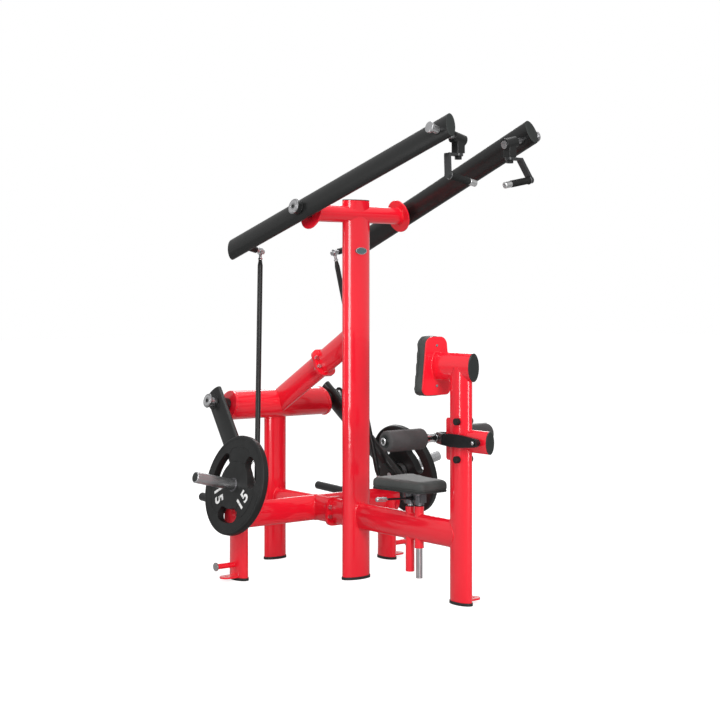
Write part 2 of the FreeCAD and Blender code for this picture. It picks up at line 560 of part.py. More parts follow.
def right_rod_ends():
    """Two ball joints with their shanks, and the bolt that rides in the lower ball."""
    top, foot, along = rod_line()
    solids = []
    for centre, direction in ((top, along), (foot, along * -1)):
        seat = direction.cross(OUT.cross(direction)).normalize()
        eye = cylinder(EYE_R, -EYE_HALF, EYE_HALF, seat, centre)
        shank = cylinder(7, EYE_R - 4, 42, direction, centre)
        housing = fused(eye, shank).cut(Part.makeSphere(BALL_R, centre, seat))
        ball = Part.makeSphere(BALL_R, centre, OUT)
        ball = ball.common(cylinder(BALL_R + 1, -8.5, 8.5, OUT, centre))
        solids.append(housing)
        solids.append(ball.cut(cylinder(ROD_BOLT_R + RUNNING_GAP, -20, 20, OUT, centre)))
    bolt = fused(cylinder(ROD_BOLT_R + RUNNING_GAP, -8.5, 8.5, OUT, foot),
                 cylinder(10, 8.5, -ROD_FOOT.z - LEVER_THICK / 2 - 8.5, OUT, foot),
                 hex_head(19, 9, foot - OUT * 17.5, OUT))
    return group(*solids, bolt)


def right_lever():
    tube = set_in(oval_prism(LEVER_HIGH, LEVER_THICK, LEVER_TOP + LEVER_END),
                  frame_of(Vector(-LEVER_TOP, 0, 0), Y_AXIS, X_AXIS))
    inner = set_in(oval_prism(LEVER_HIGH - 2 * WALL, LEVER_THICK - 2 * WALL, LEVER_TOP + LEVER_END + 2),
                   frame_of(Vector(-LEVER_TOP - 1, 0, 0), Y_AXIS, X_AXIS))
    boss = Part.makeCylinder(33, 80, Vector(0, 0, -52))
    seat = Part.makeCylinder(24, LEVER_THICK, Vector(HORN_REACH, 0, -LEVER_THICK / 2))
    lug = rounded(block((461, 549), (-24, 74), (-LEVER_THICK / 2 - 8, -LEVER_THICK / 2)), 14)
    web = block((468, 542), (-18, 18), (-LEVER_THICK / 2, -8)).cut(inner)
    body = fused(tube.cut(inner), boss, seat, lug, web)
    body = body.cut(Part.makeCylinder(LEVER_AXLE_R + RUNNING_GAP, 200, Vector(0, 0, -100)))
    return set_in(body.cut(Part.makeCylinder(15, 100, Vector(HORN_REACH, 0, -50))), LEVER_LINE)


def right_horn():
    """Weight horn: a collar against the lever, the plate sleeve, and a spigot through the lever."""
    spigot = Part.makeCylinder(15, LEVER_THICK + 8, Vector(HORN_REACH, 0, -LEVER_THICK / 2 - 8))
    face = LEVER_THICK / 2
    collar = Part.makeCylinder(40, COLLAR_END - face, Vector(HORN_REACH, 0, face))
    collar = collar.makeChamfer(3, [e for e in collar.Edges if len(e.Vertexes) == 1 and e.Vertexes[0].Z > 30])
    sleeve = Part.makeCylinder(HORN_R, HORN_TIP - face, Vector(HORN_REACH, 0, face))
    tip = [e for e in sleeve.Edges if len(e.Vertexes) == 1 and e.Vertexes[0].Z > HORN_TIP - 1]
    sleeve = sleeve.makeFillet(3, tip)
    groove = Part.makeCylinder(HORN_R + 1, GROOVE_WIDE, Vector(HORN_REACH, 0, GROOVE_AT))
    sleeve = sleeve.cut(groove.cut(Part.makeCylinder(HORN_R - 0.8, 400, Vector(HORN_REACH, 0, 0))))
    return set_in(fused(spigot, collar, sleeve), LEVER_LINE)


def right_plate():
    """Round weight plate with a rounded rim and three curved grip openings."""
    plate = Part.makeCylinder(PLATE_R, PLATE_THICK)
    plate = plate.makeFillet(9, [e for e in plate.Edges if len(e.Vertexes) == 1])
    for middle in (30, 150, 270):
        plate = plate.cut(grip_slot(middle))
    plate = plate.cut(Part.makeCylinder(HORN_R + RUNNING_GAP, PLATE_THICK + 2, Vector(0, 0, -1)))
    centre = LEVER_LINE.multVec(Vector(HORN_REACH, 0, COLLAR_END + 0.2))
    return set_in(plate, frame_of(centre, Y_AXIS, OUT))


def grip_slot(middle):
    """Curved slot with round ends, swept about the plate's centre."""
    radius, half_wide, half_angle = 138.0, 31.0, 18.0
    ring = Part.makeCylinder(radius + half_wide, PLATE_THICK + 2, Vector(0, 0, -1), Z_AXIS, 2 * half_angle)
    ring = ring.cut(Part.makeCylinder(radius - half_wide, PLATE_THICK + 4, Vector(0, 0, -2)))
    ends = [Part.makeCylinder(half_wide, PLATE_THICK + 2,
                              Vector(radius * math.cos(math.radians(a)), radius * math.sin(math.radians(a)), -1))
            for a in (0, 2 * half_angle)]
    slot = fused(ring, *ends)
    slot.rotate(Vector(0, 0, 0), Z_AXIS, middle - half_angle)
    return slot


SIDE_PARTS = {
    "arm": right_arm,
    "arm_pins": right_arm_pins,
    "swivel_block": right_swivel_block,
    "handle_bar": right_handle_bar,
    "handle_grip": right_handle_grip,
    "push_rod": right_push_rod,
    "rod_ends": right_rod_ends,
    "lever": right_lever,
    "horn": right_horn,
    "plate": right_plate,
}


# Seat and thigh rollers ----------------------------------------------------------------------

def build_seat():
    nodes = {}
    points = [(-SEAT_REAR_HALF, SEAT_REAR_Y), (SEAT_REAR_HALF, SEAT_REAR_Y),
              (SEAT_FRONT_HALF, SEAT_FRONT_Y), (-SEAT_FRONT_HALF, SEAT_FRONT_Y)]
    pad = rounded(outline(points, SEAT_THICK), 38)
    pad.translate(Vector(0, 0, SEAT_TOP - SEAT_THICK))
    edges = [e for e in pad.Edges if on_plane(e, Vector(0, 0, 0), Z_AXIS, SEAT_TOP)]
    nodes["seat_pad"] = pad.makeFillet(14, edges)

    under = SEAT_TOP - SEAT_THICK
    plate = rounded(block((-60, 60), (-500, -320), (under - 8, under)), 20)
    web = block((-14, 14), (-470, -345), (under - 50, under - 8))
    piston_boss = cylinder(24, under - 60, under - 8, Z_AXIS, Vector(0, PISTON_Y, 0))
    guide_boss = cylinder(22, under - 60, under - 8, Z_AXIS, Vector(0, GUIDE_Y, 0))
    bracket = fused(plate, web, piston_boss, guide_boss)
    for radius, y in ((PISTON_R, PISTON_Y), (GUIDE_R, GUIDE_Y)):
        bracket = bracket.cut(cylinder(radius, under - 70, under - 12, Z_AXIS, Vector(0, y, 0)))
    bracket = bracket.cut(cylinder(5 + RUNNING_GAP, -30, 30, Y_AXIS, Vector(LATCH_X, LATCH_Y, LATCH_Z)))
    slot = block((-40, -8), (LATCH_Y - 6.5, LATCH_Y + 6.5), (under - 60, under - 8))
    nodes["seat_bracket"] = bracket.cut(slot)
    nodes["seat_piston"] = cylinder(PISTON_R, 110, under - 12, Z_AXIS, Vector(0, PISTON_Y, 0))
    nodes["guide_rod"] = cylinder(GUIDE_R, 67, under - 12, Z_AXIS, Vector(0, GUIDE_Y, 0))

    pivot = Vector(LATCH_X, LATCH_Y, LATCH_Z)
    hub = cylinder(9, -6, 6, Y_AXIS, pivot)
    pin = cylinder(5, -9, 9, Y_AXIS, pivot)
    rise = Vector(-150, 0, 8).normalize()
    rod = Part.makeCylinder(4.5, 134, pivot, rise)
    knob_base = pivot + rise * 134
    nodes["release_lever"] = fused(hub, pin, rod)
    knob = Part.makeCylinder(10, 57, knob_base, rise)
    knob = knob.makeFillet(5, [e for e in knob.Edges if len(e.Vertexes) == 1])
    nodes["release_knob"] = knob
    return nodes


def build_rollers():
    nodes = {}
    straight = ROLLER_BEND_Y - ROLLER_PIVOT_Y
    side = outline([(0, -18), (0, 18), (90, 27), (150, 27), (straight, 23.5), (straight, -23.5),
                    (150, -27), (90, -27)], 12)
    side = fused(side, Part.makeCylinder(18, 12))
    side = set_in(side, frame_of(Vector(34, ROLLER_PIVOT_Y, STUB_Z), Y_AXIS, X_AXIS))
    bend = outline([(34, ROLLER_BEND_Y), (46, ROLLER_BEND_Y), (13, ROLLER_Y - 4), (1, ROLLER_Y - 4)], 47)
    bend.translate(Vector(0, 0, STUB_Z - 23.5))
    side = fused(side, bend)
    pivot = Vector(0, ROLLER_PIVOT_Y, STUB_Z)
    bolt = fused(cylinder(8 - RUNNING_GAP, -46, 46, X_AXIS, pivot),
                 *both(hex_head(19, 8, pivot + X_AXIS * 46, X_AXIS)))
    spacers = both(cylinder(14, 22.3, 34, X_AXIS, pivot))
    nodes["roller_frame"] = fused(*both(side), bolt, *spacers)
    centre = Vector(0, ROLLER_Y, STUB_Z)
    axle = cylinder(AXLE_R, -ROLLER_OUT - 1, ROLLER_OUT + 1, X_AXIS, centre)
    hub = cylinder(18.5, -HUB_STEP, HUB_STEP, X_AXIS, centre)
    hub = fused(hub, *both(cylinder(20.5, 14, 20, X_AXIS, centre)))
    collars = both(cylinder(21.5, HUB_STEP, ROLLER_IN - 0.5, X_AXIS, centre))
    ends = both(cylinder(16, ROLLER_OUT + 1, ROLLER_OUT + 6, X_AXIS, centre))
    nodes["roller_frame"] = nodes["roller_frame"].cut(hub)
    nodes["roller_axle"] = fused(axle, hub, *collars, *ends)
    roller = cylinder(ROLLER_R, ROLLER_IN, ROLLER_OUT, X_AXIS, centre)
    roller = roller.makeFillet(8, [e for e in roller.Edges if len(e.Vertexes) == 1])
    roller = roller.cut(cylinder(AXLE_R + RUNNING_GAP, 0, 400, X_AXIS, centre))
    nodes["right_roller"] = roller
    nodes["left_roller"] = mirror(roller)
    return nodes


def main():
    nodes = {}
    nodes.update(build_frame())
    nodes.update(build_fittings())
    nodes.update(build_seat())
    nodes.update(build_rollers())
    for name, make in SIDE_PARTS.items():
        shape = make()
        nodes["right_" + name] = shape
        nodes["left_" + name] = mirror(shape)
    os.makedirs("parts", exist_ok=True)
    for name, shape in nodes.items():
        shape.exportStep("parts/" + name + ".step")


main()
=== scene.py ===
import json
import math

import bmesh
import bpy
from mathutils import Matrix, Vector
from mathutils.bvhtree import BVHTree


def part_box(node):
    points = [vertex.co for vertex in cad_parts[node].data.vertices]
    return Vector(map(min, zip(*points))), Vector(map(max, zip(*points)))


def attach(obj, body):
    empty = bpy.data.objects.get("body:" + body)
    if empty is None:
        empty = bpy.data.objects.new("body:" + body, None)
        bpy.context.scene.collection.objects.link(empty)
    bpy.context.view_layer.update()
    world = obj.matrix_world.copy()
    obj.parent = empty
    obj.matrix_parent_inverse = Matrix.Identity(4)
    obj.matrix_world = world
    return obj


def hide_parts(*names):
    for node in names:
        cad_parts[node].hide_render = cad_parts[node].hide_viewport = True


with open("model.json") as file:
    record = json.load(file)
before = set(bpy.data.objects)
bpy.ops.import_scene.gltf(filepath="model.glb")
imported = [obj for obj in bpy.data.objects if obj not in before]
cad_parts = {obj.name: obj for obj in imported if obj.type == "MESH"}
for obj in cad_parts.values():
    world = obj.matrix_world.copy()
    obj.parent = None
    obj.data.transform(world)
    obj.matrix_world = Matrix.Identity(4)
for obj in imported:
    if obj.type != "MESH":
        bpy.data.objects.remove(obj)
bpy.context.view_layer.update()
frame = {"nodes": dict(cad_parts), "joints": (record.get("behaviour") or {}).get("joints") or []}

scene = bpy.context.scene

MM = 0.001
X, Y, Z = Vector((1, 0, 0)), Vector((0, 1, 0)), Vector((0, 0, 1))
SIDES = (("right", 1), ("left", -1))

# Shared sizes of the CAD, in metres.
TILT = math.radians(14)                 # lean of the planes that the arms and levers turn in
ARM_SLOPE = math.radians(19.06)         # fall of the arm toward its rear end
LEVER_DROP = math.radians(43.2)         # fall of the lever from its pivot, toward the front
ARM_FRONT, ARM_REAR = 0.942, 0.524      # arm's ends from its pivot
LEVER_TOP, LEVER_END = 0.060, 0.584     # lever's ends from its pivot
TUBE_LONG, TUBE_SHORT = 0.102, 0.050    # section of the arms and levers
HORN_REACH = 0.528                      # weight horn's axis from the lever's pivot
HORN_TIP = 0.284                        # horn's end, out from the lever's plane
PLATE_FACE = 0.0482                     # plate's inner face, out from the lever's plane
PLATE_THICK = 34 * MM
BEAM_LEVEL = 0.284                      # axis height of the low beams
ROLLER_LEVEL = 0.677                    # axis height of the foam rollers and their stub
BEAD_LONG, BEAD_SHORT = 0.117, 0.058    # beads round the ends of the frame's level tubes


# Camera, at the machine's front left corner, level, with a small downward shift ----------------

camera_data = bpy.data.cameras.new("camera")
camera = bpy.data.objects.new("camera", camera_data)
scene.collection.objects.link(camera)
scene.camera = camera
camera_data.lens = 74.3
camera_data.shift_y = -0.0972
camera_data.clip_end = 60
camera.location = (-4.112, -5.274, 1.296)
heading = math.atan2(0.617, 0.787)
camera.rotation_euler = (math.radians(90), 0, -heading)


# Materials --------------------------------------------------------------------------------------

class Shader:
    """A node material in which every input can be driven by a small chain of procedural nodes."""

    def __init__(self, name, color, rough=0.5, metal=0.0, coat=0.0, specular=0.5):
        self.mat = bpy.data.materials.new(name)
        self.mat.use_nodes = True
        self.tree = self.mat.node_tree
        self.shader = self.tree.nodes["Principled BSDF"]
        self.color = (*color, 1.0)
        self.set("Base Color", self.color)
        self.set("Roughness", rough)
        self.set("Metallic", metal)
        self.set("Coat Weight", coat)
        self.set("Coat Roughness", 0.08)
        self.set("Specular IOR Level", specular)
        self.place = self.add("ShaderNodeTexCoord").outputs["Object"]
        self.normal = None

    def add(self, kind, **inputs):
        node = self.tree.nodes.new(kind)
        for key, value in inputs.items():
            key = key.replace("_", " ")
            if hasattr(value, "links"):
                self.tree.links.new(value, node.inputs[key])
            else:
                node.inputs[key].default_value = value
        return node

    def set(self, key, value):
        if hasattr(value, "links"):
            self.tree.links.new(value, self.shader.inputs[key])
        else:
            self.shader.inputs[key].default_value = value

    def noise(self, scale, detail=4.0, rough=0.55, stretch=None):
        place = self.place
        if stretch:
            mapping = self.add("ShaderNodeMapping", Vector=place)
            mapping.inputs["Scale"].default_value = stretch
            place = mapping.outputs[0]
        node = self.add("ShaderNodeTexNoise", Vector=place, Scale=scale, Detail=detail, Roughness=rough)
        return node.outputs["Fac"]

    def cells(self, scale):
        return self.add("ShaderNodeTexVoronoi", Vector=self.place, Scale=scale).outputs["Distance"]

    def ramp(self, value, low, high, bottom=0.0, top=1.0):
        node = self.add("ShaderNodeMapRange", Value=value)
        for key, number in (("From Min", low), ("From Max", high), ("To Min", bottom), ("To Max", top)):
            node.inputs[key].default_value = number
        return node.outputs["Result"]

    def axis(self, index):
        return self.add("ShaderNodeSeparateXYZ", Vector=self.place).outputs[index]

    def blend(self, factor, first, second):
        node = self.tree.nodes.new("ShaderNodeMix")
        node.data_type = "RGBA"
        self.tree.links.new(factor, node.inputs["Factor"])
        for key, value in ((6, first), (7, second)):
            if hasattr(value, "links"):
                self.tree.links.new(value, node.inputs[key])
            else:
                node.inputs[key].default_value = (*value[:3], 1.0)
        return node.outputs[2]

    def bump(self, height, strength, distance):
        node = self.add("ShaderNodeBump", Height=height, Strength=strength, Distance=distance)
        if self.normal is not None:
            self.tree.links.new(self.normal, node.inputs["Normal"])
        self.normal = node.outputs[0]
        self.set("Normal", self.normal)

    def soft_edges(self, radius):
        """Rounds hard edges in the shading."""
        bevel = self.add("ShaderNodeBevel", Radius=radius)
        bevel.samples = 4
        self.normal = bevel.outputs[0]
        self.set("Normal", self.normal)


def powder_coat(name, color, rough, coat, specular):
    """Powder coat: even colour with fine orange peel and a clear gloss that varies a little."""
    made = Shader(name, color, rough, 0.0, coat, specular)
    made.soft_edges(0.0012)
    drift = made.ramp(made.noise(2.0, 1.0), 0.35, 0.65)
    made.set("Base Color", made.blend(drift, tuple(c * 0.97 for c in color), color))
    made.set("Roughness", made.ramp(made.noise(40.0, 2.0), 0.3, 0.7, rough * 0.92, rough * 1.08))
    made.bump(made.noise(500.0, 1.0), 0.03, 0.0002)
    return made


def steel(name, color, rough, stretch=None):
    """Turned or drawn steel with fine lines across it."""
    made = Shader(name, color, rough, 1.0, 0.0, 0.5)
    made.soft_edges(0.0008)
    lines = made.noise(220.0, 3.0, stretch=stretch or (1, 1, 1))
    made.set("Roughness", made.ramp(lines, 0.3, 0.7, rough * 0.7, rough * 1.35))
    tone = made.ramp(made.noise(22.0, 3.0), 0.3, 0.7)
    made.set("Base Color", made.blend(tone, tuple(c * 0.86 for c in color), color))
    made.bump(lines, 0.08, 0.0002)
    return made


def plastic(name, color, rough):
    """Moulded plastic with a fine etched grain."""
    made = Shader(name, color, rough, 0.0, 0.0, 0.4)
    made.soft_edges(0.0010)
    made.set("Roughness", made.ramp(made.noise(90.0, 2.0), 0.3, 0.7, rough * 0.9, rough * 1.1))
    made.bump(made.noise(900.0, 2.0), 0.12, 0.0002)
    return made


def vinyl(name, color, rough):
    """Upholstery vinyl: pebbled grain, fine creases and a faint sheen."""
    made = Shader(name, color, rough, 0.0, 0.0, 0.25)
    pebble = made.ramp(made.cells(520.0), 0.0, 0.7)
    tone = made.ramp(made.noise(14.0, 4.0), 0.35, 0.65)
    dark, light = tuple(c * 0.88 for c in color), tuple(c * 1.10 for c in color)
    made.set("Base Color", made.blend(tone, dark, light))
    made.set("Sheen Weight", 0.05)
    made.set("Roughness", made.ramp(pebble, 0.0, 1.0, rough * 0.9, rough * 1.15))
    made.bump(pebble, 0.25, 0.0004)
    made.bump(made.noise(60.0, 3.0), 0.08, 0.0012)
    return made


def rubber(name, color, rough, speck=700.0):
    """Rubber or foam skin: dull, faintly mottled and finely speckled."""
    made = Shader(name, color, rough, 0.0, 0.0, 0.25)
    made.soft_edges(0.0015)
    flow = made.ramp(made.noise(9.0, 4.0), 0.35, 0.65)
    dark, light = tuple(c * 0.8 for c in color), tuple(c * 1.2 for c in color)
    made.set("Base Color", made.blend(flow, dark, light))
    made.set("Roughness", made.ramp(made.noise(30.0, 3.0), 0.3, 0.7, rough * 0.85, rough * 1.15))
    made.bump(made.noise(speck, 2.0), 0.15, 0.0003)
    return made


RED = (0.93, 0.009, 0.027)
CHARCOAL = (0.013, 0.0135, 0.0135)

red_paint = powder_coat("red_paint", RED, 0.30, 1.0, 0.2)
charcoal_paint = powder_coat("charcoal_paint", CHARCOAL, 0.36, 0.15, 0.24)
black_paint = powder_coat("black_paint", (0.010, 0.010, 0.011), 0.34, 0.20, 0.28)
bare_steel = steel("bare_steel", (0.60, 0.60, 0.61), 0.30, (1, 14, 14))
rod_steel = steel("rod_steel", (0.50, 0.50, 0.51), 0.34, (10, 10, 1))
zinc = steel("zinc", (0.66, 0.66, 0.67), 0.18)
cap_steel = steel("cap_steel", (0.42, 0.42, 0.43), 0.34)
casting = steel("casting", (0.16, 0.16, 0.17), 0.5)
dark_plastic = plastic("dark_plastic", (0.016, 0.019, 0.018), 0.55)
upholstery = vinyl("upholstery", (0.058, 0.062, 0.060), 0.52)
thread = plastic("thread", (0.045, 0.049, 0.047), 0.7)
foam = rubber("foam", (0.060, 0.057, 0.058), 0.62, 500.0)
plate_rubber = rubber("plate_rubber", (0.012, 0.0125, 0.0125), 0.46)
grip_rubber = rubber("grip_rubber", (0.010, 0.010, 0.010), 0.7)
bumper_rubber = rubber("bumper_rubber", (0.012, 0.012, 0.012), 0.6)
white_print = plastic("white_print", (0.88, 0.88, 0.87), 0.5)
badge_fill = plastic("badge_fill", (0.085, 0.15, 0.155), 0.35)


def two_tone(name, color, rough, edge, over, metal, above=True):
    """Finish that changes into another one past a distance from the middle, as on a plated end."""
    made = Shader(name, color, rough, 0.0, 0.3, 0.35)
    made.soft_edges(0.0010)
    distance = made.add("ShaderNodeMath", Value=made.axis(0))
    distance.operation = "ABSOLUTE"
    bottom, top = (0.0, 1.0) if above else (1.0, 0.0)
    mask = made.ramp(distance.outputs[0], edge - 0.0006, edge + 0.0006, bottom, top)
    made.set("Base Color", made.blend(mask, color, over))
    made.set("Metallic", made.ramp(mask, 0.0, 1.0, 0.0, metal))
    grain = made.noise(400.0, 2.0)
    made.set("Roughness", made.ramp(grain, 0.2, 0.8, rough * 0.8, rough * 1.1))
    made.bump(grain, 0.05, 0.0003)
    return made


peg_paint = two_tone("peg_paint", RED, 0.30, 0.5435, (0.42, 0.42, 0.42), 1.0)
handle_paint = two_tone("handle_paint", (0.022, 0.023, 0.024), 0.36, 0.1165, (0.66, 0.66, 0.66), 1.0,
                        above=False)
plug_paint = two_tone("plug_paint", (0.016, 0.019, 0.018), 0.50, 0.45, RED, 0.0)

# Finish of each CAD node, by its name without the hand. Nodes that aren't listed are painted red.
FINISH = {
    "frame_bolts": zinc, "pivot_axles": bare_steel, "axle_caps": cap_steel, "foot_caps": dark_plastic,
    "tube_plugs": plug_paint, "storage_horns": black_paint, "bumpers": bumper_rubber, "badge": badge_fill,
    "band_pegs": peg_paint, "seat_bracket": casting, "seat_piston": rod_steel, "guide_rod": rod_steel,
    "release_lever": black_paint, "release_knob": zinc, "roller_frame": black_paint, "roller_axle": zinc,
    "arm": charcoal_paint, "arm_pins": bare_steel, "swivel_block": charcoal_paint,
    "handle_bar": handle_paint, "handle_grip": grip_rubber, "push_rod": charcoal_paint,
    "rod_ends": zinc, "lever": charcoal_paint, "horn": bare_steel, "plate": plate_rubber,
    "chest_pad": upholstery, "seat_pad": upholstery, "roller": foam,
}


def smooth(obj, angle):
    """Smooth shading, broken at edges sharper than angle."""
    mesh = obj.data
    mesh.polygons.foreach_set("use_smooth", [True] * len(mesh.polygons))
    edit = bmesh.new()
    edit.from_mesh(mesh)
    limit = math.radians(angle)
    for edge in edit.edges:
        edge.smooth = len(edge.link_faces) == 2 and edge.calc_face_angle(4.0) < limit
    edit.to_mesh(mesh)
    edit.free()


def paint_nodes():
    """Gives every CAD node its finish."""
    for node_name, node in frame["nodes"].items():
        shared = node_name.removeprefix("right_").removeprefix("left_")
        node.data.materials.clear()
        node.data.materials.append(FINISH.get(shared, red_paint).mat)
        node.data.polygons.foreach_set("material_index", [0] * len(node.data.polygons))


paint_nodes()


# Mesh helpers -----------------------------------------------------------------------------------

def piece(name, edit, finish, body, angle=35):
    """Turns a bmesh into a finished piece that rides on a body."""
    mesh = bpy.data.meshes.new(name)
    edit.normal_update()
    edit.to_mesh(mesh)
    edit.free()
    obj = bpy.data.objects.new(name, mesh)
    scene.collection.objects.link(obj)
    mesh.materials.append(finish.mat)
    smooth(obj, angle)
    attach(obj, body)
    return obj


def axes_to(origin, z_dir, x_hint):
    """Matrix whose local Z is z_dir and whose local X is as near x_hint as it can be."""
    z_dir = Vector(z_dir).normalized()
    y_dir = z_dir.cross(Vector(x_hint)).normalized()
    x_dir = y_dir.cross(z_dir)
    rotation = Matrix((x_dir, y_dir, z_dir)).transposed().to_4x4()
    return Matrix.Translation(Vector(origin)) @ rotation


def ring_faces(edit, lower, upper):
    """Band of faces between two rings of the same number of points."""
    count = len(lower)
    for k in range(count):
        edit.faces.new((lower[k], lower[(k + 1) % count], upper[(k + 1) % count], upper[k]))


def turned(edit, profile, matrix, steps=40, closed=False):
    """Lathe: profile is a list of (radius, height); the ends are capped unless closed on itself."""
    rings = []
    for radius, height in profile:
        ring = []
        for k in range(steps):
            angle = 2 * math.pi * k / steps
            point = Vector((radius * math.cos(angle), radius * math.sin(angle), height))
            ring.append(edit.verts.new(matrix @ point))
        rings.append(ring)
    for lower, upper in zip(rings, rings[1:]):
        ring_faces(edit, lower, upper)
    if closed:
        ring_faces(edit, rings[-1], rings[0])
    else:
        edit.faces.new(rings[0][::-1])
        edit.faces.new(rings[-1])


def tube_along(edit, points, radius, steps=8, closed=True, ripple=0.0):
    """Round bead that follows a line of points, with a small ripple like laid weld passes."""
    count = len(points)
    rings = []
    for k, point in enumerate(points):
        ahead = points[(k + 1) % count] if closed or k < count - 1 else point
        behind = points[k - 1] if closed or k > 0 else point
        along = (ahead - behind).normalized()
        if rings:
            side = (last_side - along * last_side.dot(along)).normalized()
        else:
            side = along.orthogonal()
        up = along.cross(side)
        size = radius * (1 + ripple * math.sin(k * 1.9))
        rings.append([edit.verts.new(point + (side * math.cos(a) + up * math.sin(a)) * size)
                      for a in (2 * math.pi * j / steps for j in range(steps))])
        last_side = side
    for lower, upper in zip(rings, rings[1:]):
        ring_faces(edit, lower, upper)
    if closed:
        first, last = rings[0], rings[-1]
        shift = min(range(steps), key=lambda s: (first[s].co - last[0].co).length)
        for k in range(steps):
            edit.faces.new((last[k], last[(k + 1) % steps], first[(k + 1 + shift) % steps],
                            first[(k + shift) % steps]))
    else:
        edit.faces.new(rings[0][::-1])
        edit.faces.new(rings[-1])


def oval_points(long_side, short_side, count):
    """Outline of an elliptical tube in its own plane, long side on the first axis."""
    return [(long_side / 2 * math.cos(a), short_side / 2 * math.sin(a))
            for a in (2 * math.pi * k / count for k in range(count))]


def ring_points(matrix, wide, high, level, count):
    """Points of an ellipse in the local XY plane, at a height along local Z."""
    return [matrix @ Vector((wide * math.cos(a), high * math.sin(a), level))
            for a in (2 * math.pi * k / count for k in range(count))]


def oval_cap(edit, matrix, long_side, short_side, thick, crown):
    """Moulded tube plug: a rim with a rounded edge and a gently crowned face."""
    layers = [(0.0, 0.0), (0.0, thick * 0.6), (-0.9 * MM, thick * 0.9), (-2.4 * MM, thick),
              (-5 * MM, thick + crown * 0.35), (-11 * MM, thick + crown * 0.8), (-17 * MM, thick + crown)]
    rings = []
    for inset, height in layers:
        outline = oval_points(long_side + 2 * inset, short_side + 2 * inset, 56)
        rings.append([edit.verts.new(matrix @ Vector((u, v, height))) for u, v in outline])
    for lower, upper in zip(rings, rings[1:]):
        ring_faces(edit, lower, upper)
    edit.faces.new(rings[0][::-1])
    edit.faces.new(rings[-1])


def cap_screw(edit, matrix, radius, height):
    """Domed socket-head screw with a round recess."""
    turned(edit, [(radius, 0), (radius, height * 0.4), (radius * 0.86, height * 0.85),
                  (radius * 0.55, height), (radius * 0.50, height), (radius * 0.44, height * 0.35)],
           matrix, 30)


def hex_nut(edit, matrix, radius, height):
    """Six-sided nut with broken edges."""
    chamfer = radius * 0.93
    profile = [(chamfer, 0), (radius, height * 0.12), (radius, height * 0.88), (chamfer, height)]
    turned(edit, profile, matrix, 6)


# Planes of the arms and levers --------------------------------------------------------------------

class Side:
    """Points and directions of one side: out and up span the leaning plane's normal and its rise."""

    def __init__(self, hand, sign):
        self.hand, self.sign = hand, sign
        self.out = Vector((sign * math.cos(TILT), 0, math.sin(TILT)))
        self.up = Vector((-sign * math.sin(TILT), 0, math.cos(TILT)))
        joints = {j["name"]: j for j in frame["joints"]}
        self.arm_pivot = Vector(joints[hand + "_arm_swing"]["pos_m"])
        self.lever_pivot = Vector(joints[hand + "_lever_swing"]["pos_m"])
        self.rod_top = Vector(joints[hand + "_rod_swing"]["pos_m"])
        self.arm_back = Y * math.cos(ARM_SLOPE) - self.up * math.sin(ARM_SLOPE)
        self.lever_down = -Y * math.cos(LEVER_DROP) - self.up * math.sin(LEVER_DROP)
        self.horn_base = self.lever_pivot + self.lever_down * HORN_REACH
        self.plate_centre = self.horn_base + self.out * PLATE_FACE


HANDS = [Side(hand, sign) for hand, sign in SIDES]


def add_plugs(side):
    """End plugs of the arm and of the lever."""
    plugs = (("arm", side.arm_pivot, side.arm_back, -ARM_FRONT, ARM_REAR),
             ("lever", side.lever_pivot, side.lever_down, -LEVER_TOP, LEVER_END))
    for part, pivot, along, low, high in plugs:
        edit = bmesh.new()
        across = side.out.cross(along)
        for offset, outward in ((low, -along), (high, along)):
            matrix = axes_to(pivot + along * offset, outward, across)
            oval_cap(edit, matrix, TUBE_LONG - 0.6 * MM, TUBE_SHORT - 0.6 * MM, 3 * MM, 2.5 * MM)
        piece(side.hand + "_" + part + "_plugs", edit, dark_plastic, side.hand + "_" + part)


def add_pivot_trim(side):
    """Countersunk ring and dark socket screw in each pivot cap, and a seal ring behind the cap."""
    for pivot, radius, back, face, name in ((side.arm_pivot, 34 * MM, 45 * MM, 53 * MM, "arm"),
                                            (side.lever_pivot, 32 * MM, 53 * MM, 61.5 * MM, "lever")):
        edit = bmesh.new()
        matrix = axes_to(pivot + side.out * face, side.out, Y)
        turned(edit, [(radius * 0.80, -0.4 * MM), (radius * 0.80, 0.5 * MM), (radius * 0.76, 0.9 * MM),
                      (radius * 0.50, 0.9 * MM), (radius * 0.46, 0.5 * MM), (radius * 0.46, -0.4 * MM)],
               matrix, 56, closed=True)
        piece(side.hand + "_" + name + "_cap_ring", edit, zinc, "frame")
        edit = bmesh.new()
        cap_screw(edit, matrix, 8.5 * MM, 3.5 * MM)
        seal = axes_to(pivot + side.out * back, side.out, Y)
        turned(edit, [(radius * 0.70, -0.4 * MM), (radius * 1.03, -0.2 * MM), (radius * 1.05, 1.4 * MM),
                      (radius * 1.01, 2.4 * MM), (radius * 0.70, 2.0 * MM)], seal, 56, closed=True)
        piece(side.hand + "_" + name + "_cap_screw", edit, dark_plastic, "frame")


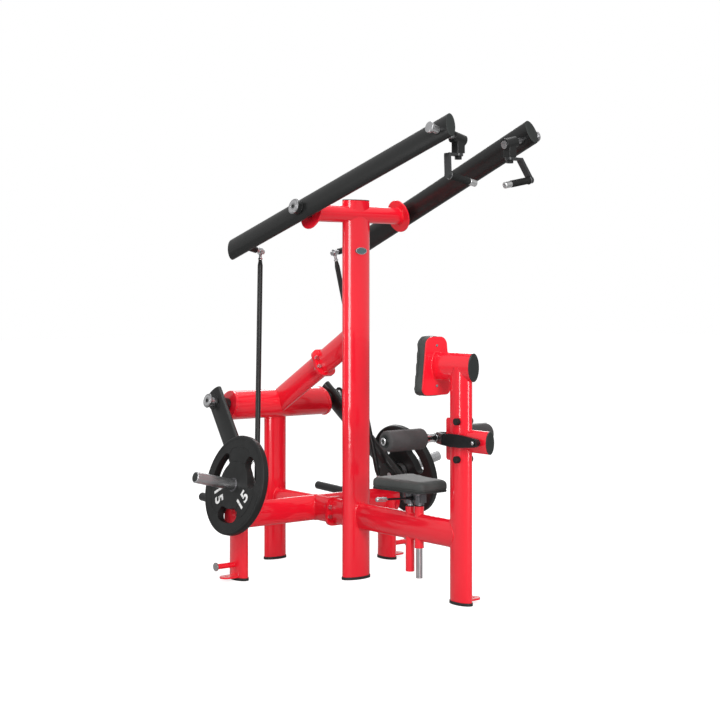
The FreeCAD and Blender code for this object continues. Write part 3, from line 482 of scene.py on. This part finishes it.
def add_grip(side):
    """Ribbed rubber sleeve with a thick inner flange, the washer behind it and the bar's plated tip."""
    slope = math.radians(11)
    along = Vector((-side.sign * math.cos(slope), 0, -math.sin(slope)))
    elbow = Vector((side.sign * 0.226, -0.880, 1.750))
    matrix = axes_to(elbow, along, Y)
    profile = [(10.2 * MM, 9.4 * MM), (17.0 * MM, 9.6 * MM), (17.6 * MM, 11.0 * MM), (17.0 * MM, 13.2 * MM),
               (14.6 * MM, 14.6 * MM)]
    position = 16.0
    while position < 108:
        profile += [(13.7 * MM, position * MM), (14.7 * MM, (position + 0.8) * MM),
                    (14.7 * MM, (position + 2.6) * MM), (13.7 * MM, (position + 3.4) * MM)]
        position += 4.6
    profile += [(14.4 * MM, 111.0 * MM), (13.6 * MM, 112.6 * MM), (10.2 * MM, 112.8 * MM)]
    edit = bmesh.new()
    turned(edit, profile, matrix, 36, closed=True)
    grip = piece(side.hand + "_ribbed_grip", edit, grip_rubber, side.hand + "_handle")
    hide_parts(side.hand + "_handle_grip")
    edit = bmesh.new()
    washer = [(10.2 * MM, 7.1 * MM), (16.4 * MM, 7.1 * MM), (16.4 * MM, 9.2 * MM), (10.2 * MM, 9.2 * MM)]
    turned(edit, washer, matrix, 40, closed=True)
    tip = [(8 * MM, 149.0 * MM), (7.6 * MM, 149.8 * MM), (3.4 * MM, 149.9 * MM), (3.2 * MM, 149.2 * MM)]
    turned(edit, tip, matrix, 32)
    piece(side.hand + "_grip_washers", edit, zinc, side.hand + "_handle")


def number_mesh(text, height):
    """Bold, slightly raised digits as a mesh centred on the origin."""
    curve = bpy.data.curves.new("digits", "FONT")
    curve.body = text
    curve.size = height
    curve.extrude = 0.5 * MM
    curve.offset = height * 0.022
    curve.bevel_depth = 0.15 * MM
    curve.align_x = "CENTER"
    curve.align_y = "CENTER"
    curve.space_character = 1.1
    holder = bpy.data.objects.new("digits", curve)
    scene.collection.objects.link(holder)
    bpy.context.view_layer.update()
    mesh = bpy.data.meshes.new_from_object(holder.evaluated_get(bpy.context.evaluated_depsgraph_get()))
    bpy.data.objects.remove(holder)
    return mesh


def add_plate_numbers(side):
    """The weight, twice on each face, with the digits' tops toward the centre."""
    digits = number_mesh("15", 80 * MM)
    edit = bmesh.new()
    for face, level in ((1, PLATE_THICK + 0.1 * MM), (-1, -0.1 * MM)):
        for u, v in ((98, -56), (-96, -60)):
            spot = Vector((u * MM, v * MM, 0))
            top = -spot.normalized()
            place = side.plate_centre + Y * spot.x + side.up * spot.y + side.out * level
            y_dir = (Y * top.x + side.up * top.y).normalized()
            z_dir = side.out * face
            x_dir = y_dir.cross(z_dir)
            matrix = Matrix((x_dir, y_dir, z_dir)).transposed().to_4x4()
            matrix = Matrix.Translation(place) @ matrix
            before = len(edit.verts)
            edit.from_mesh(digits)
            edit.verts.ensure_lookup_table()
            for vert in edit.verts[before:]:
                vert.co = matrix @ vert.co
    bmesh.ops.remove_doubles(edit, verts=edit.verts, dist=1e-6)
    piece(side.hand + "_plate_numbers", edit, white_print, side.hand + "_plate")


def add_plate_bush(side):
    """Bush round the plate's bore, standing a little proud of both faces."""
    matrix = axes_to(side.plate_centre, side.out, Y)
    edit = bmesh.new()
    for face, base in ((1, PLATE_THICK), (-1, 0.0)):
        matrix_face = matrix @ Matrix.Translation((0, 0, base))
        turned(edit, [(25.2 * MM, -6 * MM * face), (31 * MM, -6 * MM * face), (31 * MM, 0.6 * MM * face),
                      (30 * MM, 1.4 * MM * face), (26.4 * MM, 1.4 * MM * face), (25.2 * MM, 0.6 * MM * face)],
               matrix_face, 56, closed=True)
    bmesh.ops.recalc_face_normals(edit, faces=edit.faces)
    piece(side.hand + "_plate_bush", edit, casting, side.hand + "_plate")


def add_plate_relief(side):
    """Soft moulded lips round the three grip openings and a fine line inside the rim."""
    matrix = axes_to(side.plate_centre, side.out, Y)
    line_radius = 206.0 * MM
    edit = bmesh.new()
    for level in (PLATE_THICK, 0.0):
        tube_along(edit, ring_points(matrix, line_radius, line_radius, level, 120), 0.8 * MM, 8)
        for middle in (30, 150, 270):
            ring = [matrix @ Vector((u * MM, v * MM, level)) for u, v in slot_outline(middle)]
            tube_along(edit, ring, 1.3 * MM, 8)
    piece(side.hand + "_plate_lips", edit, plate_rubber, side.hand + "_plate", 60)


def slot_outline(middle):
    """Outline of a grip opening centred on an angle, in mm and degrees."""
    half_wide, radius, half_angle = 32.0, 138.0, 18.0
    points = []
    for k in range(15):
        a = math.radians(middle - half_angle + 2 * half_angle * k / 14)
        points.append(((radius + half_wide) * math.cos(a), (radius + half_wide) * math.sin(a)))
    points += end_arc(middle + half_angle, middle + half_angle, half_wide, radius)
    for k in range(15):
        a = math.radians(middle + half_angle - 2 * half_angle * k / 14)
        points.append(((radius - half_wide) * math.cos(a), (radius - half_wide) * math.sin(a)))
    points += end_arc(middle - half_angle, middle - half_angle + 180, half_wide, radius)
    return points


def end_arc(at, start, half_wide, radius):
    """Half circle that closes a slot's end, leaving out the two points the sides already have."""
    cx, cy = radius * math.cos(math.radians(at)), radius * math.sin(math.radians(at))
    angles = [math.radians(start + 180 * k / 12) for k in range(1, 12)]
    return [(cx + half_wide * math.cos(a), cy + half_wide * math.sin(a)) for a in angles]


def add_horn_trim(side):
    """Domed insert in the horn's end."""
    edit = bmesh.new()
    matrix = axes_to(side.horn_base + side.out * HORN_TIP, side.out, Y)
    turned(edit, [(20 * MM, -2 * MM), (20 * MM, 0.2 * MM), (18.5 * MM, 1.4 * MM), (12 * MM, 2.4 * MM),
                  (5 * MM, 2.9 * MM), (1.2 * MM, 3.0 * MM)], matrix, 48)
    piece(side.hand + "_horn_insert", edit, dark_plastic, side.hand + "_lever", 50)


def add_rod_trim(side):
    """Jam nuts and thread turns on the shanks at both ends of the push rod."""
    rod_foot = side.lever_pivot - Y * 0.3555 - side.up * 0.3947 - side.out * 0.0767
    along = (rod_foot - side.rod_top).normalized()
    edit = bmesh.new()
    for base, direction in ((side.rod_top, along), (rod_foot, -along)):
        hex_nut(edit, axes_to(base + direction * 33 * MM, direction, side.out), 11.5 * MM, 7.5 * MM)
        for k in range(5):
            turned(edit, [(6.9 * MM, 0), (7.5 * MM, 0.7 * MM), (6.9 * MM, 1.4 * MM)],
                   axes_to(base + direction * (20 + 2.3 * k) * MM, direction, side.out), 24)
    piece(side.hand + "_jam_nuts", edit, zinc, side.hand + "_push_rod")


def add_welds(side):
    """Weld beads round the bosses of the arm and of the lever."""
    for part, pivot, radius in (("arm", side.arm_pivot, 30.5 * MM), ("lever", side.lever_pivot, 33.5 * MM)):
        edit = bmesh.new()
        matrix = axes_to(pivot, side.out, Y)
        for level in (-TUBE_SHORT / 2, TUBE_SHORT / 2):
            ring = ring_points(matrix, radius, radius, level, 84)
            tube_along(edit, ring, 2.2 * MM, 8, True, 0.16)
        body = side.hand + "_" + part
        piece(body + "_welds", edit, charcoal_paint, body, 60)


for side in HANDS:
    add_plugs(side)
    add_pivot_trim(side)
    add_grip(side)
    add_plate_numbers(side)
    add_plate_bush(side)
    add_plate_relief(side)
    add_horn_trim(side)
    add_rod_trim(side)
    add_welds(side)


# Frame welds, screws, badge -----------------------------------------------------------------------

def oval_bead(edit, centre, normal, long_side, short_side, dip):
    """Bead round the end of an upright elliptical tube; dip(u, v) gives the surface's fall off the flat."""
    across = normal.cross(Z)
    ring = []
    for u, v in oval_points(long_side, short_side, 96):
        ring.append(centre + Z * u + across * v - normal * dip(u, v))
    tube_along(edit, ring, 3.0 * MM, 8, True, 0.14)


def side_fall(deep, wide):
    """Fall of an upright elliptical column below its crest, across the tube that meets it."""
    return lambda u, v: deep - deep * math.sqrt(max(1 - (v / wide) ** 2, 0.0))


def rise_fall(deep, high):
    """Fall of a level elliptical beam below its crest, along the height of the tube that meets it."""
    return lambda u, v: deep - deep * math.sqrt(max(1 - (u / high) ** 2, 0.0))


def flat_fall(u, v):
    """No fall: the tube meets a flat face."""
    return 0.0


def add_frame_welds():
    """Beads where the elliptical tubes meet the columns, the legs and the pivot beam."""
    column, slim, beam = side_fall(0.036, 0.073), side_fall(0.060, 0.030), rise_fall(0.029, 0.0585)
    joints = ((-0.036, BEAM_LEVEL, -Y, BEAD_LONG, BEAD_SHORT, column),
              (0.036, BEAM_LEVEL, Y, BEAD_LONG, BEAD_SHORT, column),
              (-0.645, BEAM_LEVEL, Y, BEAD_LONG, BEAD_SHORT, slim),
              (-0.765, ROLLER_LEVEL, -Y, 0.093, 0.044, slim),
              (0.277, BEAM_LEVEL, -Y, BEAD_LONG, BEAD_SHORT, beam),
              (0.335, BEAM_LEVEL, Y, BEAD_LONG, BEAD_SHORT, beam),
              (0.607, BEAM_LEVEL, -Y, BEAD_LONG, BEAD_SHORT, side_fall(0.030, 0.060)),
              (-0.553, 0.978, -Y, BEAD_LONG, BEAD_SHORT, flat_fall))
    edit = bmesh.new()
    for y, z, normal, long_side, short_side, dip in joints:
        oval_bead(edit, Vector((0, y, z)), normal, long_side, short_side, dip)
    piece("frame_welds", edit, red_paint, "frame", 60)


def add_disc_welds():
    """Beads behind the discs that carry the arm and lever pivots."""
    edit = bmesh.new()
    stretch = 1 / math.cos(TILT)
    for side in HANDS:
        for pivot, offset, radius in ((side.arm_pivot, 56.5, 38.5), (side.lever_pivot, 69.2, 68.5)):
            matrix = axes_to(pivot - side.out * offset * MM, side.out, Y)
            ring = ring_points(matrix, radius * MM, radius * stretch * MM, 0, 96)
            tube_along(edit, ring, 2.6 * MM, 8, True, 0.14)
    piece("disc_welds", edit, red_paint, "frame", 60)


def add_screws():
    """Socket screws that hold the chest pad and the seat."""
    edit = bmesh.new()
    for z in (1.063, 0.893):
        cap_screw(edit, axes_to(Vector((0, -0.553, z)), -Y, X), 6.0 * MM, 3.0 * MM)
    piece("pad_screws", edit, cap_steel, "frame")
    edit = bmesh.new()
    for x in (-0.045, 0.045):
        for y in (-0.338, -0.482):
            cap_screw(edit, axes_to(Vector((x, y, 0.432)), -Z, X), 6.5 * MM, 3.5 * MM)
    piece("seat_screws", edit, cap_steel, "seat")


def add_roller_frame_trim():
    """End caps of the roller axle, with dark inserts, and the cap and ring of the frame's own pivot."""
    caps, rings = bmesh.new(), bmesh.new()
    for sign in (1, -1):
        end = axes_to(Vector((sign * 0.2925, -0.56, ROLLER_LEVEL)), X * sign, Y)
        turned(caps, [(15.0 * MM, 0), (16.4 * MM, 1 * MM), (16.2 * MM, 4.2 * MM), (13.5 * MM, 5.2 * MM),
                      (9.5 * MM, 5.2 * MM), (9.0 * MM, 4.2 * MM)], end, 40, closed=True)
        turned(rings, [(9.2 * MM, 3.5 * MM), (9.0 * MM, 4.6 * MM), (6.0 * MM, 5.2 * MM),
                       (1.5 * MM, 5.4 * MM)], end, 32)
        seal = axes_to(Vector((sign * 0.046, -0.832, ROLLER_LEVEL)), X * sign, Y)
        turned(rings, [(12.2 * MM, -0.3 * MM), (15.4 * MM, -0.3 * MM), (15.0 * MM, 1.6 * MM),
                       (12.2 * MM, 2.0 * MM)], seal, 40, closed=True)
        pivot = axes_to(Vector((sign * 0.054, -0.832, ROLLER_LEVEL)), X * sign, Y)
        turned(caps, [(8.6 * MM, -0.6 * MM), (8.4 * MM, 0.8 * MM), (6.4 * MM, 2.2 * MM),
                      (2.0 * MM, 2.8 * MM)], pivot, 30)
    piece("roller_frame_caps", caps, zinc, "roller_frame", 40)
    piece("roller_frame_rings", rings, dark_plastic, "roller_frame", 40)


def add_sleeve_bushes():
    """Bushes on the tops of the seat's two sleeves."""
    edit = bmesh.new()
    for y, radius, top in ((-0.378, 19.0, 0.367), (-0.439, 20.0, 0.374)):
        turned(edit, [((radius - 6) * MM, 0), (radius * MM, 0), ((radius + 0.8) * MM, 1.2 * MM),
                      (radius * MM, 3.0 * MM), ((radius - 5) * MM, 3.6 * MM)],
               axes_to(Vector((0, y, top)), Z, X), 40, closed=True)
    piece("sleeve_bushes", edit, dark_plastic, "frame")


def add_badge():
    """Blank badge: a plated oval rim round a plain coloured plate."""
    edit = bmesh.new()
    ring = [Vector((0.0288 * math.cos(a), -0.0395, 1.471 + 0.0143 * math.sin(a)))
            for a in (2 * math.pi * k / 72 for k in range(72))]
    tube_along(edit, ring, 1.9 * MM, 10)
    piece("badge_rim", edit, zinc, "frame", 60)


add_frame_welds()
add_disc_welds()
add_screws()
add_roller_frame_trim()
add_sleeve_bushes()
add_badge()


# Padded pieces --------------------------------------------------------------------------------------

def rounded_outline(corners, radii, steps=8):
    """Closed outline with rounded corners, as a list of 2-D points."""
    outline = []
    count = len(corners)
    for k in range(count):
        radius = radii[k] if isinstance(radii, tuple) else radii
        here = Vector(corners[k])
        before = (Vector(corners[k - 1]) - here).normalized()
        after = (Vector(corners[(k + 1) % count]) - here).normalized()
        half = before.angle(after) / 2
        reach = radius / math.tan(half)
        centre = here + (before + after).normalized() * (radius / math.sin(half))
        start, end = here + before * reach, here + after * reach
        a0 = math.atan2(*(start - centre).yx)
        turn = (end - centre).angle_signed(start - centre)
        for j in range(steps + 1):
            a = a0 + turn * j / steps
            outline.append((centre.x + radius * math.cos(a), centre.y + radius * math.sin(a)))
    return outline


def inset_outline(outline, distance):
    """Moves an outline inward by a distance along its own normals."""
    count = len(outline)
    result = []
    for k in range(count):
        before, after = Vector(outline[k - 1]), Vector(outline[(k + 1) % count])
        along = (after - before).normalized()
        inward = Vector((-along.y, along.x))
        result.append(tuple(Vector(outline[k]) + inward * distance))
    return result


def slab(layers, to_world):
    """Closed solid from stacked outlines: layers is a list of (outline, height)."""
    edit = bmesh.new()
    rings = []
    for outline, height in layers:
        rings.append([edit.verts.new(to_world(Vector((u, v, height)))) for u, v in outline])
    for lower, upper in zip(rings, rings[1:]):
        ring_faces(edit, lower, upper)
    edit.faces.new(rings[0][::-1])
    edit.faces.new(rings[-1])
    bmesh.ops.recalc_face_normals(edit, faces=edit.faces)
    return edit


PRESSURE = 4.0      # inflation pressure of the cloth
FRAMES = 20         # frames that the cloth is run for


def puffed(name, edit, voxel, cap, body, finish, hold):
    """Inflates a closed shape with cloth pressure, limits each point's travel, and finishes it."""
    mesh = bpy.data.meshes.new(name)
    edit.to_mesh(mesh)
    edit.free()
    obj = bpy.data.objects.new(name, mesh)
    scene.collection.objects.link(obj)
    remesh = obj.modifiers.new("remesh", "REMESH")
    remesh.mode = "VOXEL"
    remesh.voxel_size = voxel
    graph = bpy.context.evaluated_depsgraph_get()
    dense = bpy.data.meshes.new_from_object(obj.evaluated_get(graph))
    obj.modifiers.clear()
    obj.data = dense
    bpy.data.meshes.remove(mesh)
    start = [v.co.copy() for v in dense.vertices]
    cloth = obj.modifiers.new("cloth", "CLOTH")
    settings = cloth.settings
    settings.use_pressure = True
    settings.uniform_pressure_force = PRESSURE
    settings.effector_weights.gravity = 0
    settings.quality = 5
    settings.tension_stiffness = 12
    settings.compression_stiffness = 12
    settings.bending_stiffness = 0.6
    settings.mass = 0.25
    cloth.point_cache.frame_start = 1
    cloth.point_cache.frame_end = FRAMES
    for number in range(1, FRAMES + 1):
        scene.frame_set(number)
    graph = bpy.context.evaluated_depsgraph_get()
    moved = obj.evaluated_get(graph).to_mesh()
    ends = [v.co.copy() for v in moved.vertices]
    obj.modifiers.clear()
    scene.frame_set(1)
    for vert, first, last in zip(dense.vertices, start, ends):
        shift = last - first
        if shift.length > cap:
            shift *= cap / shift.length
        vert.co = hold(first + shift)
    relax = bmesh.new()
    relax.from_mesh(dense)
    for _ in range(3):
        bmesh.ops.smooth_vert(relax, verts=relax.verts, factor=0.4, use_axis_x=True, use_axis_y=True,
                              use_axis_z=True)
    relax.to_mesh(dense)
    relax.free()
    dense.materials.clear()
    dense.materials.append(finish.mat)
    dense.polygons.foreach_set("use_smooth", [True] * len(dense.polygons))
    dense.polygons.foreach_set("material_index", [0] * len(dense.polygons))
    modifier = obj.modifiers.new("subdivision", "SUBSURF")
    modifier.levels = modifier.render_levels = 1
    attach(obj, body)
    return obj


def stitches(edit, points):
    """Short thread stitches laid end to end along a closed line of points."""
    spacing = 7 * MM
    carried = 0.0
    for a, b in zip(points, points[1:] + points[:1]):
        along = b - a
        length = along.length
        if length < 1e-6:
            continue
        along /= length
        while carried < length:
            start = a + along * carried
            tube_along(edit, [start, start + along * spacing * 0.3, start + along * spacing * 0.6],
                       0.5 * MM, 5, False)
            carried += spacing
        carried -= length


def seam_on(name, cushion, points, inward, body):
    """Fine seam with stitches beside it, dropped onto the finished cushion along inward."""
    graph = bpy.context.evaluated_depsgraph_get()
    tree = BVHTree.FromObject(cushion, graph)
    line = []
    for point in points:
        hit = tree.ray_cast(point - inward(point) * 40 * MM, inward(point))[0]
        line.append(hit if hit is not None else point)
    edit = bmesh.new()
    tube_along(edit, line, 1.1 * MM, 6)
    piece(name + "_seam", edit, thread, body, 60)
    edit = bmesh.new()
    stitches(edit, [spot + offset for spot, offset in zip(line, seam_offsets(line, inward))])
    piece(name + "_stitches", edit, thread, body, 60)


def seam_offsets(line, inward):
    """Small step sideways from the seam, along the cushion's surface."""
    count = len(line)
    steps = []
    for k in range(count):
        along = (line[(k + 1) % count] - line[k - 1]).normalized()
        steps.append(inward(line[k]).cross(along).normalized() * 3.2 * MM)
    return steps


def seat():
    """Seat: a tapered board and, on it, a cloth-inflated cushion with a stitched seam round its side."""
    low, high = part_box("seat_pad")
    base, top = low.z, high.z
    corners = [(0.129, high.y), (-0.129, high.y), (-0.082, low.y), (0.082, low.y)]
    outline = rounded_outline(corners, 0.038)
    world = lambda p: Vector((p.x, p.y, p.z))
    inset = lambda d: inset_outline(outline, d * MM)
    board = [(inset(9), base - 0.2 * MM), (inset(8), base + 1.2 * MM), (inset(8), base + 7 * MM)]
    piece("seat_board", slab(board, world), dark_plastic, "seat")
    layers = [(inset(7), base + 3.5 * MM), (inset(3.2), base + 8 * MM), (inset(2.2), base + 20 * MM),
              (inset(2.4), top - 17 * MM), (inset(6), top - 8 * MM), (inset(14), top - 5.5 * MM)]

    def hold(point):
        point.z = max(min(point.z, top + 1 * MM), base + 2 * MM)
        return point

    cushion = puffed("seat_cushion", slab(layers, world), 0.0050, 0.006, "seat", upholstery,
                     hold)
    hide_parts("seat_pad")
    level = base + 17 * MM
    middle = Vector((0, (low.y + high.y) / 2, level))
    rim = [Vector((u, v, level)) for u, v in inset(0)]
    seam_on("seat", cushion, rim, lambda p: (middle - p).normalized(), "seat")


def chest():
    """Chest pad: a cloth-inflated tapered cushion on its plate, with a stitched seam."""
    low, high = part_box("chest_pad")
    corners = [(-0.082, low.z), (0.082, low.z), (0.057, high.z), (-0.057, high.z)]
    outline = rounded_outline(corners[::-1], (0.038, 0.038, 0.026, 0.026))
    world = lambda p: Vector((p.x, p.z, p.y))
    inset = lambda d: inset_outline(outline, d * MM)
    layers = [(inset(3.0), low.y + 0.6 * MM), (inset(1.8), low.y + 4 * MM), (inset(1.8), high.y - 15 * MM),
              (inset(5), high.y - 8 * MM), (inset(13), high.y - 5 * MM)]

    def hold(point):
        point.y = max(min(point.y, high.y + 1 * MM), low.y + 0.3 * MM)
        return point

    cushion = puffed("chest_cushion", slab(layers, world), 0.0050, 0.005, "frame", upholstery,
                     hold)
    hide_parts("chest_pad")
    level = low.y + 34 * MM
    middle = Vector((0, level, (low.z + high.z) / 2))
    rim = [Vector((u, level, v)) for u, v in inset(0)]
    seam_on("chest", cushion, rim, lambda p: (middle - p).normalized(), "frame")


def roller(side):
    """Foam roller: a cloth-inflated sleeve on a dark core with flared ends, and a seam along it."""
    node = side.hand + "_roller"
    low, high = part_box(node)
    inner, outer = (low.x, high.x) if side.sign > 0 else (high.x, low.x)
    y, z, radius = (low.y + high.y) / 2, (low.z + high.z) / 2, (high.z - low.z) / 2
    matrix = axes_to(Vector((inner, y, z)), X * side.sign, Y)
    length = abs(outer - inner)
    bore, hole = 20 * MM, 12.7 * MM
    rounding = ((bore, 3 * MM), (radius - 12 * MM, 2 * MM), (radius - 5 * MM, 5 * MM),
                (radius - 2.5 * MM, 12 * MM))
    profile = list(rounding) + [(around, length - along) for around, along in rounding[::-1]]
    edit = bmesh.new()
    turned(edit, profile, matrix, 64, closed=True)
    bmesh.ops.recalc_face_normals(edit, faces=edit.faces)

    def hold(point):
        reach = Vector((0, point.y - y, point.z - z))
        if reach.length < 16 * MM:
            reach = reach.normalized() * 16 * MM
            point.y, point.z = y + reach.y, z + reach.z
        point.x = min(max(point.x, low.x - 1 * MM), high.x + 1 * MM)
        return point

    pad = puffed(side.hand + "_foam_roller", edit, 0.0045, 0.005, node, foam, hold)
    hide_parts(node)
    edit = bmesh.new()
    for base, direction in ((3.5 * MM, 1), (length - 3.5 * MM, -1)):
        flare = [(hole, 0), (26 * MM, -2.5 * MM * direction), (27 * MM, 0),
                 (20.5 * MM, 6 * MM * direction), (hole, 6 * MM * direction)]
        turned(edit, flare, matrix @ Matrix.Translation((0, 0, base)), 48, closed=True)
    core = [(hole, 5 * MM), (19.5 * MM, 5 * MM), (19.5 * MM, length - 5 * MM), (hole, length - 5 * MM)]
    turned(edit, core, matrix, 40, closed=True)
    bmesh.ops.recalc_face_normals(edit, faces=edit.faces)
    piece(side.hand + "_roller_core", edit, dark_plastic, node)
    edit = bmesh.new()
    seam = radius - 0.9 * MM
    line = [matrix @ Vector((0, seam, 10 * MM + (length - 20 * MM) * k / 30)) for k in range(31)]
    tube_along(edit, line, 1.0 * MM, 6, False)
    piece(side.hand + "_roller_seam", edit, foam, node, 60)


seat()
chest()
for side in HANDS:
    roller(side)


# Floor, light, world ---------------------------------------------------------------------------------

def floor_plane(name, height, finish):
    """Wide level plane."""
    edit = bmesh.new()
    bmesh.ops.create_grid(edit, x_segments=2, y_segments=2, size=30)
    mesh = bpy.data.meshes.new(name)
    edit.to_mesh(mesh)
    edit.free()
    floor = bpy.data.objects.new(name, mesh)
    floor.location.z = height
    scene.collection.objects.link(floor)
    mesh.materials.append(finish.mat)
    return floor


def build_stage():
    """White floor that shows soft contact shadows, and a grey one under it that bounces light."""
    white = Shader("floor_white", (0.50, 0.50, 0.50), 0.9, 0.0, 0.0, 0.0)
    white.set("Emission Color", (1, 1, 1, 1))
    white.set("Emission Strength", 0.78)
    seen = floor_plane("floor", -0.0005, white)
    seen.visible_diffuse = seen.visible_glossy = seen.visible_shadow = False
    grey = Shader("floor_bounce", (0.42, 0.42, 0.42), 0.9, 0.0, 0.0, 0.0)
    floor_plane("floor_bounce", -0.002, grey).visible_camera = False


def area_light(name, place, target, size, power):
    """Rectangular softbox at a place, aimed at a target."""
    data = bpy.data.lights.new(name, "AREA")
    data.shape = "RECTANGLE"
    data.size, data.size_y = size
    data.energy = power
    lamp = bpy.data.objects.new(name, data)
    lamp.location = place
    aim = Vector(target) - Vector(place)
    lamp.rotation_euler = aim.to_track_quat("-Z", "Y").to_euler()
    scene.collection.objects.link(lamp)
    return lamp


def build_world():
    """White surroundings behind the object, and softer, dimmer light on it from all round."""
    world = bpy.data.worlds.new("world")
    world.use_nodes = True
    nodes, links = world.node_tree.nodes, world.node_tree.links
    background = nodes["Background"]
    background.inputs["Color"].default_value = (1, 1, 1, 1)
    path = nodes.new("ShaderNodeLightPath")
    level = nodes.new("ShaderNodeMapRange")
    level.inputs["To Min"].default_value = 0.60
    level.inputs["To Max"].default_value = 1.0
    links.new(path.outputs["Is Camera Ray"], level.inputs["Value"])
    links.new(level.outputs["Result"], background.inputs["Strength"])
    scene.world = world


build_stage()
area_light("key", (-2.4, -3.4, 3.9), (0, 0, 0.9), (2.4, 2.4), 95)
area_light("front_fill", (-1.2, -5.4, 1.6), (0, 0, 1.1), (1.2, 2.0), 95).visible_glossy = False
area_light("front_gloss", (-2.2, -5.1, 1.35), (0, 0, 1.2), (1.6, 2.6), 120).visible_diffuse = False
area_light("left_strip", (-5.0, 1.6, 1.6), (0, 0, 1.0), (0.40, 2.8), 45)
area_light("top", (0.3, 0.4, 5.2), (0, 0, 0), (3.4, 3.4), 75)
area_light("back", (3.4, 3.6, 2.8), (0, 0, 1.0), (2.0, 2.0), 50)
build_world()
scene.view_settings.view_transform = "Standard"
scene.view_settings.look = "None"
